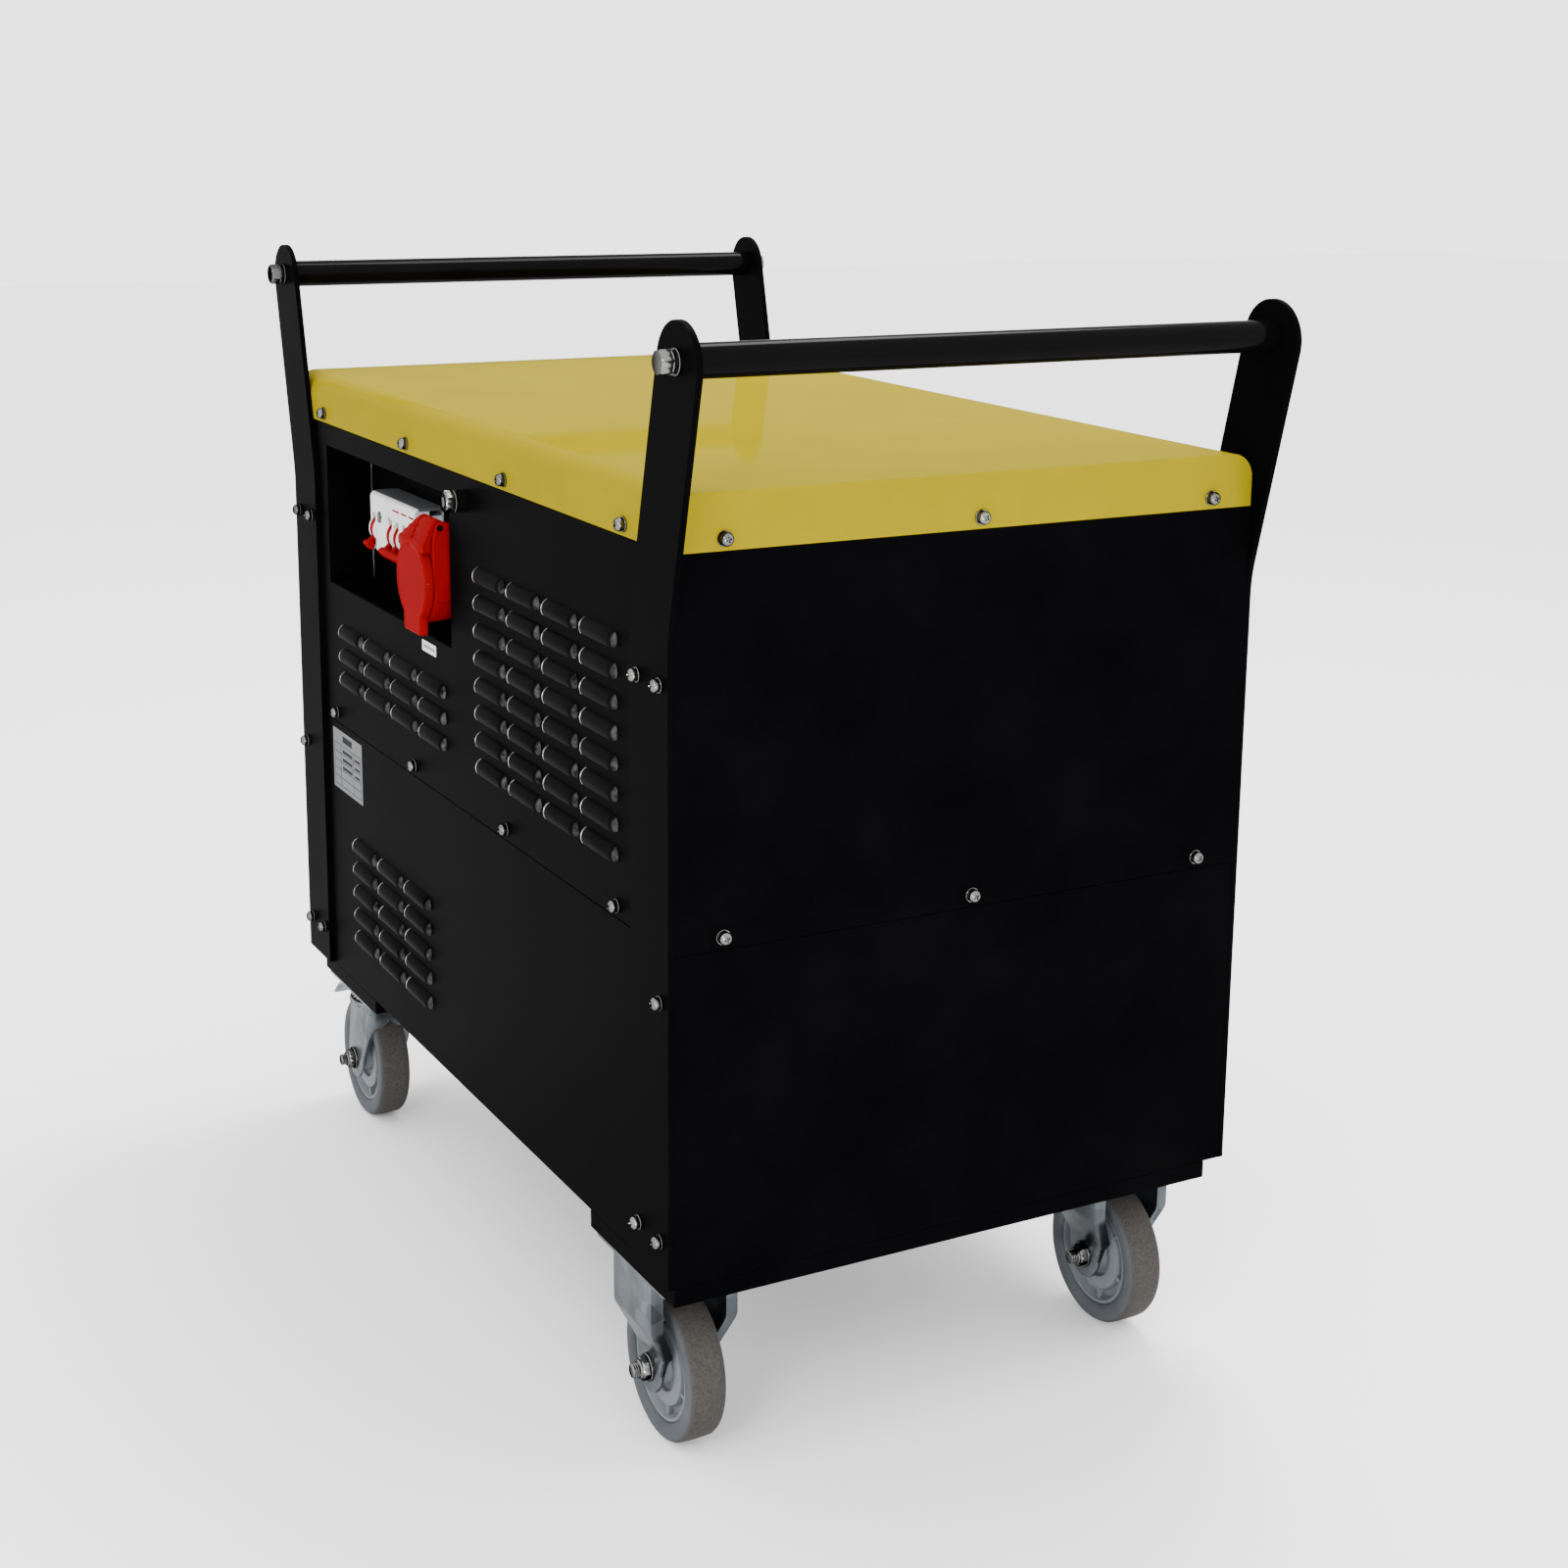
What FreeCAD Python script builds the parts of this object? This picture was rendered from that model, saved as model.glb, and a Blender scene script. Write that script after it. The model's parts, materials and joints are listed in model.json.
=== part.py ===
"""Plasma cutter unit: a sheet-metal power cabinet on four casters with a push bar at each end.

Millimetres. X runs from the socket side (left, -X) to the right, Y from the front end (-Y)
to the rear end, and Z up from the floor. The origin is on the floor under the cabinet's middle.
"""
import FreeCAD, Part
import os
import re
import Sketcher

document = FreeCAD.newDocument("CutterUnit")

# Driving dimensions in millimetres and degrees, kept in the spreadsheet.
SIZES = {
    # cabinet
    "body_width": 515,
    "body_length": 877,
    "case_height": 607.5,
    "lower_height": 264.5,
    "lid_depth": 43,
    "lid_radius": 20,
    "panel_sheet": 2,
    "seam_gap": 0.5,
    "tray_sheet": 2.5,
    "tray_flange": 30,
    # inner frame
    "frame_wall": 3,
    "upright_width": 60,
    "seam_ring": 50,
    "top_ring": 34,
    # rails under the tray
    "rail_height": 14.5,
    "rail_width": 156,
    "rail_wall": 3,
    "rail_setback": 15.5,
    "rear_rail_inset": 37,
    # posts and push bars
    "post_thickness": 5,
    "post_width": 65,
    "bend_height": 508.5,
    "bar_outreach": 14,
    "bar_height": 702.5,
    "crown_below_bar": 3.5,
    "bend_radius": 120,
    "bar_diameter": 25.4,
    "bar_wall": 2,
    "bar_plug": 25,
    "bar_bolt": 10,
    "bar_bolt_reach": 20,
    "bar_bolt_flats": 17,
    "bar_bolt_head": 7,
    "bar_bolt_neck": 3.5,
    "bar_washer": 20,
    "bar_washer_thickness": 2,
    "bar_spring_washer": 16.5,
    "bar_spring_thickness": 2.5,
    "press_clearance": 0.05,
    # case screws
    "screw_diameter": 6,
    "screw_tip": 4,
    "screw_washer": 12,
    "screw_washer_thickness": 1.5,
    "screw_spring": 9.6,
    "screw_spring_thickness": 1.5,
    "screw_head": 10.5,
    "screw_head_height": 4.5,
    "screw_head_bevel": 1.2,
    "screw_clearance": 0.2,
    "post_column_outer": 14,
    "post_column_inner": 52,
    "post_screw_low": 35,
    "post_screw_middle": 226,
    "post_screw_high": 467.5,
    "lid_screw_drop": 34,
    "seam_screw_rise": 10,
    "end_screw_inset": 40,
    "lid_screw_first": 85,
    "lid_screw_last": 87,
    "seam_screw_first": 101,
    "seam_screw_last": 101,
    # louvres
    "louvre_length": 66,
    "louvre_radius": 9,
    "louvre_sink": 3.5,
    "louvre_wall": 1.4,
    "louvre_mouth": 5,
    "louvre_slot": 9,
    "louvre_slot_overrun": 4.5,
    "louvre_pitch": 75,
    "louvre_step": 24,
    "bank_margin": 30,
    "front_bank_first": 131,
    "front_bank_top": 82,
    "front_bank_gap": 90,
    "middle_bank_first": 49.5,
    "middle_bank_last": 60,
    "middle_bank_gap": 45,
    "lower_bank_last": 177,
    "lower_bank_top": 116,
    # recess in the left side
    "recess_from_rear": 90.5,
    "recess_length": 337,
    "recess_drop": 22,
    "recess_height": 136,
    "recess_depth": 45,
    "recess_sheet": 1.5,
    # circuit breaker on its rail
    "breaker_from_recess": 135.5,
    "module_width": 17.8,
    "nose_rise": 45,
    "nose_height": 56,
    "nose_inset": 17.5,
    "breaker_height": 86,
    "breaker_depth": 40,
    "breaker_clearance": 0.5,
    "wall_clearance": 0.3,
    "toggle_pivot_depth": 11,
    "toggle_pivot_rise": 20,
    "toggle_length": 25,
    "toggle_radius": 9,
    "toggle_width": 7,
    "toggle_lever": 5,
    "toggle_slot": 8,
    "toggle_room": 1,
    "toggle_slot_reach": 18,
    "toggle_rest": 42,
    "toggle_shaft": 4,
    "tie_bar": 6,
    "tie_bar_overhang": 3,
    "button_rise": 34,
    "button_width": 6,
    "button_length": 12,
    "button_proud": 2,
    "button_depth": 8,
    "button_travel": 1.5,
    "button_clearance": 0.3,
    "button_room": 1,
    "running_clearance": 0.05,
    "din_height": 35,
    "din_base": 27,
    "din_depth": 7.5,
    "din_sheet": 1,
    "din_margin": 12,
    "din_foot": 12,
    # inlet socket
    "socket_from_recess": 48,
    "socket_rise": 48,
    "socket_flange": 76,
    "socket_flange_thickness": 5,
    "socket_root": 64,
    "socket_mouth": 72,
    "socket_proud": 4.5,
    "socket_bore": 63,
    "socket_bore_depth": 36,
    "insert_thickness": 8,
    "contact_diameter": 6,
    "contact_length": 24,
    "contact_circle": 36,
    "hinge_rise": 57,
    "hinge_barrel": 12,
    "hinge_pin": 4,
    "hinge_gap": 0.3,
    "ear_thickness": 5,
    "ear_root": 4,
    "lug_width": 13.4,
    "lid_disc_width": 76,
    "lid_disc_height": 86,
    "lid_disc_thickness": 10.4,
    "lid_boss": 56,
    "lid_boss_height": 4,
    # earthing stud
    "stud_diameter": 10,
    "stud_from_recess": 36.5,
    "stud_drop": 22,
    "stud_length": 20,
    "stud_flats": 17,
    "stud_nut": 8,
    "stud_washer": 20,
    "stud_washer_thickness": 2,
    "stud_inner_nut": 6,
    "stud_stub": 1,
    # labels
    "label_thickness": 0.5,
    "rating_from_rear": 84.5,
    "rating_length": 88,
    "rating_drop": 7.5,
    "rating_height": 61.5,
    "small_from_recess": 39,
    "small_length": 35,
    "small_drop": 6.5,
    "small_height": 10,
    # casters
    "caster_height": 157,
    "wheel_headroom": 32,
    "wheel_width": 32,
    "tyre_shoulder": 5,
    "tyre_rounding": 4,
    "tyre_depth": 16.5,
    "rim_width": 26,
    "rim_depth": 10,
    "rim_draft": 2,
    "web_width": 12,
    "boss_diameter": 30,
    "boss_width": 39,
    "axle_diameter": 12,
    "axle_flats": 19,
    "axle_nut": 10,
    "axle_head": 7.5,
    "axle_stub": 3,
    "axle_washer": 24,
    "axle_washer_thickness": 2,
    "caster_left_inset": 41.5,
    "caster_right_inset": 52.5,
    "front_wheel_inset": 84.5,
    "rear_swivel_inset": 108.5,
    "caster_trail": 42,
    "plate_width": 82,
    "plate_length": 138,
    "plate_thickness": 3.5,
    "fork_gap": 41,
    "fork_sheet": 3.5,
    "fork_leg_width": 41,
    "crown_width": 77.2,
    "crown_length": 71.2,
    "crown_drop": 48,
    "shoulder_drop": 79,
    "race_diameter": 66,
    "race_height": 8.7,
    "race_gap": 0.3,
    "fork_disc": 76,
    "king_pin": 16,
    "king_head": 24,
    "king_head_height": 5.7,
    "fork_front_reach": 34,
    "fork_rear_reach": 46,
    "pedal_pivot_back": 40,
    "pedal_pivot_drop": 10.5,
    "pedal_barrel": 10,
    "pedal_pin": 6,
    "pedal_width": 34,
    "pedal_length": 42,
    "pedal_fall": 6,
    "pedal_sheet": 3,
    "pedal_tip": 9,
    "pedal_rivet": 7,
    "pedal_rivet_pitch": 17,
    "pedal_rivet_reach": 29.4,
    "pedal_rivet_height": 1.5,
    "bolt_diameter": 8,
    "bolt_flats": 13,
    "bolt_head": 5.3,
    "bolt_nut": 6.5,
    "bolt_clearance": 0.2,
    "bolt_pitch_across": 50,
    "bolt_pitch_along": 110,
    # parts inside
    "core_width": 180,
    "core_length": 120,
    "core_height": 150,
    "core_window": 40,
    "core_window_offset": 45,
    "core_from_front": 130,
    "coil_length": 170,
    "coil_height": 90,
    "sink_width": 220,
    "sink_length": 240,
    "sink_base": 12,
    "sink_height": 70,
    "sink_fin": 4,
    "sink_pitch": 18,
    "sink_gap": 30,
    "board_width": 200,
    "board_length": 110,
    "board_sheet": 1.6,
    "board_rise": 20,
    "board_from_rear": 77,
    "board_margin": 10,
    "standoff": 8,
    "capacitor_diameter": 24,
    "capacitor_height": 40,
    "capacitor_offset": 40,
    "fan_size": 120,
    "fan_depth": 38,
    "fan_bore": 114,
    "fan_from_front": 230,
    "fan_rise": 120,
    "fan_strut": 8,
    "fan_motor": 40,
    "fan_motor_depth": 10,
    "fan_spindle": 6,
    "spindle_gap": 1,
    "rotor_hub": 44,
    "rotor_depth": 24,
    "rotor_tip": 110,
    "rotor_blade": 3,
    "rotor_chord": 20.5,
    "rotor_root": 11,
    "rotor_bore_depth": 14,
    # controls and outputs on the rear end
    "knob_diameter": 40,
    "knob_height": 16,
    "knob_shaft": 6,
    "knob_shaft_reach": 12,
    "knob_rise": 200,
    "torch_offset": 110,
    "torch_rise": 90,
    "torch_flange": 50,
    "torch_flange_thickness": 3,
    "torch_barrel": 32,
    "torch_reach": 17,
    "torch_bore": 9,
    "torch_inner": 18,
    "work_flange": 38,
    "work_flange_thickness": 6,
    "work_barrel": 28,
    "work_bore": 9.2,
    "work_bore_depth": 25,
    "work_inner": 22,
    "fitting_clearance": 0.2,
}

# Planes and levels that several sub-parts share, as formulas of the sizes.
SIDE = "(body_width / 2)"
INNER_SIDE = "(body_width / 2 - panel_sheet)"
END = "(body_length / 2)"
INNER_END = "(body_length / 2 - panel_sheet)"
POST_FACE = "(body_width / 2 + post_thickness)"
PLATE_LOW = "(caster_height - plate_thickness)"
BASE = "(caster_height + rail_height)"
FLOOR = "(caster_height + rail_height + tray_sheet)"
SEAM = "(caster_height + rail_height + lower_height)"
TOP = "(caster_height + rail_height + case_height)"
SKIRT = "(caster_height + rail_height + case_height - lid_depth)"
AXLE = "((caster_height - wheel_headroom) / 2)"
LEFT_CASTER = "(caster_left_inset - body_width / 2)"
RIGHT_CASTER = "(body_width / 2 - caster_right_inset)"
FRONT_WHEEL = "(front_wheel_inset - body_length / 2)"
SWIVEL = "(body_length / 2 - rear_swivel_inset)"
REAR_WHEEL = "(body_length / 2 - rear_swivel_inset + caster_trail)"
RECESS_FAR = "(body_length / 2 - recess_from_rear)"
RECESS_NEAR = "(body_length / 2 - recess_from_rear - recess_length)"
RECESS_HIGH = f"({SKIRT} - recess_drop)"
RECESS_LOW = f"({SKIRT} - recess_drop - recess_height)"
RECESS_BACK = "(recess_depth - body_width / 2)"
NOSE_FRONT = "(nose_inset - body_width / 2)"
NOSE_NEAR = f"({RECESS_NEAR} + breaker_from_recess)"
NOSE_LOW = f"({RECESS_LOW} + nose_rise)"
SOCKET_Y = f"({RECESS_NEAR} + socket_from_recess)"
SOCKET_Z = f"({RECESS_LOW} + socket_rise)"
SOCKET_FRONT = "(-body_width / 2 - socket_proud)"

# The cabinet's four faces: how far a screw that points along +X is turned about Z.
FACE_TURNS = {"right": 0, "rear": 90, "left": 180, "front": 270}

LEVER_POLES = 4
LEAKAGE_MODULES = 3
SIDE_SCREW_COUNT = 4
LOWER_COLUMN_COUNT = 3

# How far a cutting tool runs past the face that it opens.
OVERSHOOT = 1

sub_parts = {}


def fill_sheet():
    """Write every size into the spreadsheet under its own alias."""
    sheet = document.addObject("Spreadsheet::Sheet", "Sizes")
    for row, (name, value) in enumerate(SIZES.items(), start=1):
        sheet.set(f"A{row}", name)
        sheet.set(f"B{row}", str(value))
        sheet.setAlias(f"B{row}", name)
    document.recompute()


def formula(text):
    """The text with each size's name turned into a reference to its cell."""
    def reference(word):
        name = word.group()
        return "Sizes." + name if name in SIZES else name
    return re.sub(r"[a-z][a-z_0-9]*", reference, str(text))


def bind(item, property_name, text):
    item.setExpression(property_name, formula(text))


def both(text):
    """The span from minus to plus a formula."""
    return (f"-({text})", f"({text})")


def around(centre, size):
    """The span of a size about a centre."""
    return (f"{centre} - ({size}) / 2", f"{centre} + ({size}) / 2")


def set_place(item, point, axis=(0, 0, 1), turn=0):
    """Bind an object's place, with a turn about one axis."""
    rotation = FreeCAD.Rotation(FreeCAD.Vector(*axis), turn)
    item.Placement = FreeCAD.Placement(FreeCAD.Vector(), rotation)
    for name, text in zip("xyz", point):
        bind(item, f"Placement.Base.{name}", text)
    return item


def box(name, x, y, z):
    """A block between the low and high formulas on each axis."""
    item = document.addObject("Part::Box", name)
    for size, (low, high) in zip(("Length", "Width", "Height"), (x, y, z)):
        bind(item, size, f"({high}) - ({low})")
    return set_place(item, (x[0], y[0], z[0]))


def along(item, axis, start):
    """Lay an upright primitive along one axis from its start point."""
    turns = {"x": ((0, 1, 0), 90), "y": ((1, 0, 0), -90), "z": ((0, 0, 1), 0)}
    direction, turn = turns[axis]
    return set_place(item, start, direction, turn)


def cylinder(name, axis, start, diameter, length):
    item = document.addObject("Part::Cylinder", name)
    bind(item, "Radius", f"({diameter}) / 2")
    bind(item, "Height", length)
    return along(item, axis, start)


def hexagon(name, axis, start, flats, length):
    """A six-sided bar given by its width across flats."""
    item = document.addObject("Part::Prism", name)
    item.Polygon = 6
    bind(item, "Circumradius", f"({flats}) / 2 / cos(30)")
    bind(item, "Height", length)
    return along(item, axis, start)


def fuse(name, pieces):
    item = document.addObject("Part::MultiFuse", name)
    item.Shapes = pieces
    item.Refine = True
    return item


def cut(name, base, tools):
    """The base less its tools, which may overlap one another."""
    item = document.addObject("Part::Cut", name)
    item.Base = base
    item.Tool = tools[0] if len(tools) == 1 else fuse(name + "_tools", tools)
    return item


def common(name, base, tool):
    item = document.addObject("Part::Common", name)
    item.Base = base
    item.Tool = tool
    return item


def group(name, pieces):
    """Separate solids that share one node."""
    item = document.addObject("Part::Compound", name)
    item.Links = pieces
    return item


def copy_of(form, name, point, turn=0):
    """A linked copy of a form, set at a point and turned about Z."""
    item = document.addObject("App::Link", name)
    item.LinkedObject = form
    return set_place(item, point, turn=turn)


def outline(body, name, role, points):
    """A closed sketch of straight lines, each corner tied to two formulas."""
    sketch = body.newObject("Sketcher::SketchObject", name)
    plane = next(item for item in body.Origin.OriginFeatures if item.Role == role)
    sketch.AttachmentSupport = [(plane, "")]
    sketch.MapMode = "FlatFace"
    start_radius = 50
    count = len(points)
    starts = []
    for index in range(count):
        spoke = FreeCAD.Rotation(FreeCAD.Vector(0, 0, 1), 360 * index / count)
        starts.append(spoke.multVec(FreeCAD.Vector(start_radius, 0, 0)))
    for index in range(count):
        sketch.addGeometry(Part.LineSegment(starts[index], starts[(index + 1) % count]))
    for index in range(count):
        sketch.addConstraint(Sketcher.Constraint("Coincident", index, 2, (index + 1) % count, 1))
    for index, corner in enumerate(points):
        start = starts[index]
        for kind, value, text in zip(("DistanceX", "DistanceY"), (start.x, start.y), corner):
            number = sketch.addConstraint(Sketcher.Constraint(kind, -1, 1, index, 1, value))
            bind(sketch, f"Constraints[{number}]", text)
    return sketch


def turned(name, points):
    """A body of revolution about X, from (x, radius) corners."""
    body = document.addObject("PartDesign::Body", name)
    sketch = outline(body, name + "_profile", "XY_Plane", points)
    turn = body.newObject("PartDesign::Revolution", name + "_turn")
    turn.Profile = sketch
    turn.ReferenceAxis = (sketch, ["H_Axis"])
    turn.Angle = 360
    return body


def profile_pad(name, role, points, thickness, centred=True):
    """A straight-sided body: an outline on an origin plane with a thickness."""
    body = document.addObject("PartDesign::Body", name)
    sketch = outline(body, name + "_profile", role, points)
    pad = body.newObject("PartDesign::Pad", name + "_pad")
    pad.Profile = sketch
    pad.SideType = "Symmetric" if centred else "One side"
    bind(pad, "Length", thickness)
    return body


def round_edges(body, name, chosen, radius):
    """Fillet the edges of a body's last feature that pass a test."""
    document.recompute()
    feature = body.Tip
    names = [f"Edge{number}" for number, edge in enumerate(feature.Shape.Edges, start=1)
             if chosen(edge)]
    fillet = body.newObject("PartDesign::Fillet", name)
    fillet.Base = (feature, names)
    bind(fillet, "Radius", radius)
    return body


def keep(item):
    """List an object as a sub-part under its own label."""
    sub_parts[item.Label] = item
    return item


def size_of(name):
    return float(SIZES[name])


def screw_seats():
    """Every case screw: its kind, its face and the formulas of its seat point."""
    seats = []
    columns = (("post_column_outer", ("low", "middle", "high")),
               ("post_column_inner", ("low", "high")))
    for face, sign in (("left", "-"), ("right", "")):
        for end in ("-", ""):
            for column, rows in columns:
                for row in rows:
                    y = f"{end}({END} - {column})"
                    z = f"{BASE} + post_screw_{row}"
                    seats.append(("post", face, (f"{sign}{POST_FACE}", y, z)))
        for row, z in (("lid", f"{TOP} - lid_screw_drop"), ("seam", f"{SEAM} + seam_screw_rise")):
            span = f"(body_length - {row}_screw_first - {row}_screw_last)"
            for place in range(SIDE_SCREW_COUNT):
                y = f"{row}_screw_first + {place} * {span} / {SIDE_SCREW_COUNT - 1} - {END}"
                seats.append(("case", face, (f"{sign}{SIDE}", y, z)))
    for face, sign in (("front", "-"), ("rear", "")):
        for z in (f"{TOP} - lid_screw_drop", f"{SEAM} + seam_screw_rise"):
            for place in (-1, 0, 1):
                x = f"{place} * ({SIDE} - end_screw_inset)"
                seats.append(("case", face, (x, f"{sign}{END}", z)))
    return seats


def screw_form(name, reach):
    """A pan-head screw with its spring and flat washers, pointing along +X from its seat."""
    washer = "screw_washer_thickness"
    spring = "(screw_washer_thickness + screw_spring_thickness)"
    head = "(screw_washer_thickness + screw_spring_thickness + screw_head_height)"
    return turned(name, [
        (f"-({reach})", 0), (f"-({reach})", "screw_diameter / 2"), (0, "screw_diameter / 2"),
        (0, "screw_washer / 2"), (washer, "screw_washer / 2"), (washer, "screw_spring / 2"),
        (spring, "screw_spring / 2"), (spring, "screw_head / 2"),
        (f"{head} - screw_head_bevel", "screw_head / 2"), (head, "screw_head / 2 - screw_head_bevel"),
        (head, 0)])


def case_screws():
    """All the case screws as one node, and the holes that they pass through."""
    reach = {"post": "post_thickness + panel_sheet + frame_wall + screw_tip",
             "case": "panel_sheet + frame_wall + screw_tip"}
    forms = {kind: screw_form(f"{kind}_screw", text) for kind, text in reach.items()}
    holes = {}
    for kind, text in reach.items():
        holes[kind] = cylinder(f"{kind}_hole", "x", (f"-({text}) - {OVERSHOOT}", 0, 0),
                               "screw_diameter + 2 * screw_clearance", f"{text} + 2 * {OVERSHOOT}")
    hole_forms = {kind: group(f"{kind}_hole_form", [hole]) for kind, hole in holes.items()}
    screws = []
    bores = []
    for number, (kind, face, point) in enumerate(screw_seats(), start=1):
        turn = FACE_TURNS[face]
        screws.append(copy_of(forms[kind], f"screw_{number}", point, turn))
        bores.append(copy_of(hole_forms[kind], f"bore_{number}", point, turn))
    keep(group("case_screws", screws))
    return group("screw_bores", bores)


def base_tray():
    block = box("tray_block", both(INNER_SIDE), both(INNER_END), (BASE, f"{BASE} + tray_flange"))
    hollow = box("tray_hollow", both(f"{INNER_SIDE} - tray_sheet"), both(f"{INNER_END} - tray_sheet"),
                 (FLOOR, TOP))
    keep(cut("base_tray", block, [hollow]))


def bolt_points(x, y):
    """The four bolt places of one caster."""
    for across in (-1, 1):
        for lengthwise in (-1, 1):
            yield (f"{x} + {across} * bolt_pitch_across / 2",
                   f"{y} + {lengthwise} * bolt_pitch_along / 2")


CASTERS = {"front_left": (LEFT_CASTER, FRONT_WHEEL), "front_right": (RIGHT_CASTER, FRONT_WHEEL),
           "rear_left": (LEFT_CASTER, SWIVEL), "rear_right": (RIGHT_CASTER, SWIVEL)}


def caster_bolts():
    """Hexagon bolts through each plate into its rail, and the holes for them."""
    grip = "rail_wall + plate_thickness"
    bolts = []
    holes = []
    for corner, (x, y) in CASTERS.items():
        for number, (bolt_x, bolt_y) in enumerate(bolt_points(x, y), start=1):
            name = f"{corner}_bolt_{number}"
            shank = cylinder(name + "_shank", "z", (bolt_x, bolt_y, f"{PLATE_LOW} - bolt_nut"),
                             "bolt_diameter", f"bolt_nut + {grip} + bolt_head")
            nut = hexagon(name + "_nut", "z", (bolt_x, bolt_y, f"{PLATE_LOW} - bolt_nut"),
                          "bolt_flats", "bolt_nut")
            head = hexagon(name + "_head", "z", (bolt_x, bolt_y, "caster_height + rail_wall"),
                           "bolt_flats", "bolt_head")
            bolts.append(fuse(name, [shank, nut, head]))
            holes.append(cylinder(name + "_hole", "z", (bolt_x, bolt_y, PLATE_LOW),
                                  "bolt_diameter + 2 * bolt_clearance", grip))
    keep(group("caster_bolts", bolts))
    return group("caster_holes", holes)


def caster_rails(holes):
    """Two shallow trays across the underside, open to the base tray above them."""
    spans = {"front_rail": (f"-{END}", f"rail_width - {END}"),
             "rear_rail": (f"{END} - rear_rail_inset - rail_width", f"{END} - rear_rail_inset")}
    rails = []
    for name, (near, far) in spans.items():
        block = box(name + "_block", (f"-{SIDE}", f"{SIDE} - rail_setback"), (near, far),
                    ("caster_height", BASE))
        hollow = box(name + "_hollow",
                     (f"rail_wall - {SIDE}", f"{SIDE} - rail_setback - rail_wall"),
                     (f"{near} + rail_wall", f"{far} - rail_wall"),
                     ("caster_height + rail_wall", FLOOR))
        rails.append(cut(name, block, [hollow, holes]))
    keep(group("caster_rails", rails))


def inner_frame(bores):
    """Welded angle frame: four uprights on the tray's flanges, a ring at the seam and one on top."""
    low = f"({BASE} + tray_flange)"
    high = f"({TOP} - lid_radius)"
    spans = {"lower": (low, f"{SEAM} - seam_ring / 2"),
             "upper": (f"{SEAM} + seam_ring / 2", f"{high} - top_ring")}
    block = box("frame_block", both(INNER_SIDE), both(INNER_END), (low, high))
    tools = [box("frame_core", both(f"{INNER_SIDE} - frame_wall"),
                 both(f"{INNER_END} - frame_wall"), (BASE, TOP))]
    for name, span in spans.items():
        tools.append(box(f"frame_{name}_side_window", both(SIDE),
                         both(f"{INNER_END} - upright_width"), span))
        tools.append(box(f"frame_{name}_end_window", both(f"{INNER_SIDE} - upright_width"),
                         both(END), span))
    bare = cut("frame_bare", block, tools)
    keep(cut("inner_frame", bare, [bores]))


def rounded_block(name, half_width, half_length, low, high, radius):
    """A long block whose two upper edges along Y are rounded."""
    core = box(name + "_core", both(half_width), both(half_length), (low, f"{high} - {radius}"))
    cap = box(name + "_cap", both(f"{half_width} - {radius}"), both(half_length),
              (f"{high} - {radius}", high))
    rounds = []
    for side in ("-", ""):
        start = (f"{side}({half_width} - {radius})", f"-{half_length}", f"{high} - {radius}")
        rounds.append(cylinder(name + "_round", "y", start, f"2 * {radius}", f"2 * {half_length}"))
    return fuse(name, [core, cap] + rounds)


def lid(bores):
    outer = rounded_block("lid_outer", SIDE, END, SKIRT, TOP, "lid_radius")
    inner = rounded_block("lid_inner", INNER_SIDE, INNER_END, f"({SKIRT} - lid_radius)",
                          f"({TOP} - panel_sheet)", "(lid_radius - panel_sheet)")
    keep(cut("lid", outer, [inner, bores]))


UPPER_SPAN = (f"{SEAM} + seam_gap / 2", f"{SKIRT} - seam_gap")
LOWER_SPAN = (BASE, f"{SEAM} - seam_gap / 2")


def louvre_form():
    """One pressed hood on a wall that faces -X: a half-round shell with its mouth at the bottom."""
    reach = "(louvre_length / 2 - sqrt(louvre_radius ^ 2 - louvre_sink ^ 2))"
    shells = []
    for name, radius in (("outer", "louvre_radius"), ("inner", "(louvre_radius - louvre_wall)")):
        barrel = cylinder(f"hood_{name}_barrel", "y", ("louvre_sink", f"-{reach}", 0),
                          f"2 * {radius}", f"2 * {reach}")
        ends = []
        for side in ("-", ""):
            ball = document.addObject("Part::Sphere", f"hood_{name}_end")
            bind(ball, "Radius", radius)
            ends.append(set_place(ball, ("louvre_sink", f"{side}{reach}", 0)))
        shells.append(fuse(f"hood_{name}", [barrel] + ends))
    shell = cut("hood_shell", shells[0], [shells[1]])
    span = box("hood_span", ("-2 * louvre_radius", "panel_sheet / 2"), both("louvre_length"),
               ("-louvre_mouth", "2 * louvre_radius"))
    hood = common("louvre_hood", shell, span)
    slot = box("louvre_slot_block", ("-panel_sheet", "2 * panel_sheet"),
               both(f"{reach} + louvre_slot_overrun"), ("-louvre_mouth", "louvre_slot - louvre_mouth"))
    return hood, group("louvre_slot_form", [slot])


def count_in(room, pitch):
    """How many places a pitch apart there are in the room from the first to the last."""
    return int(room // size_of(pitch)) + 1


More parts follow.
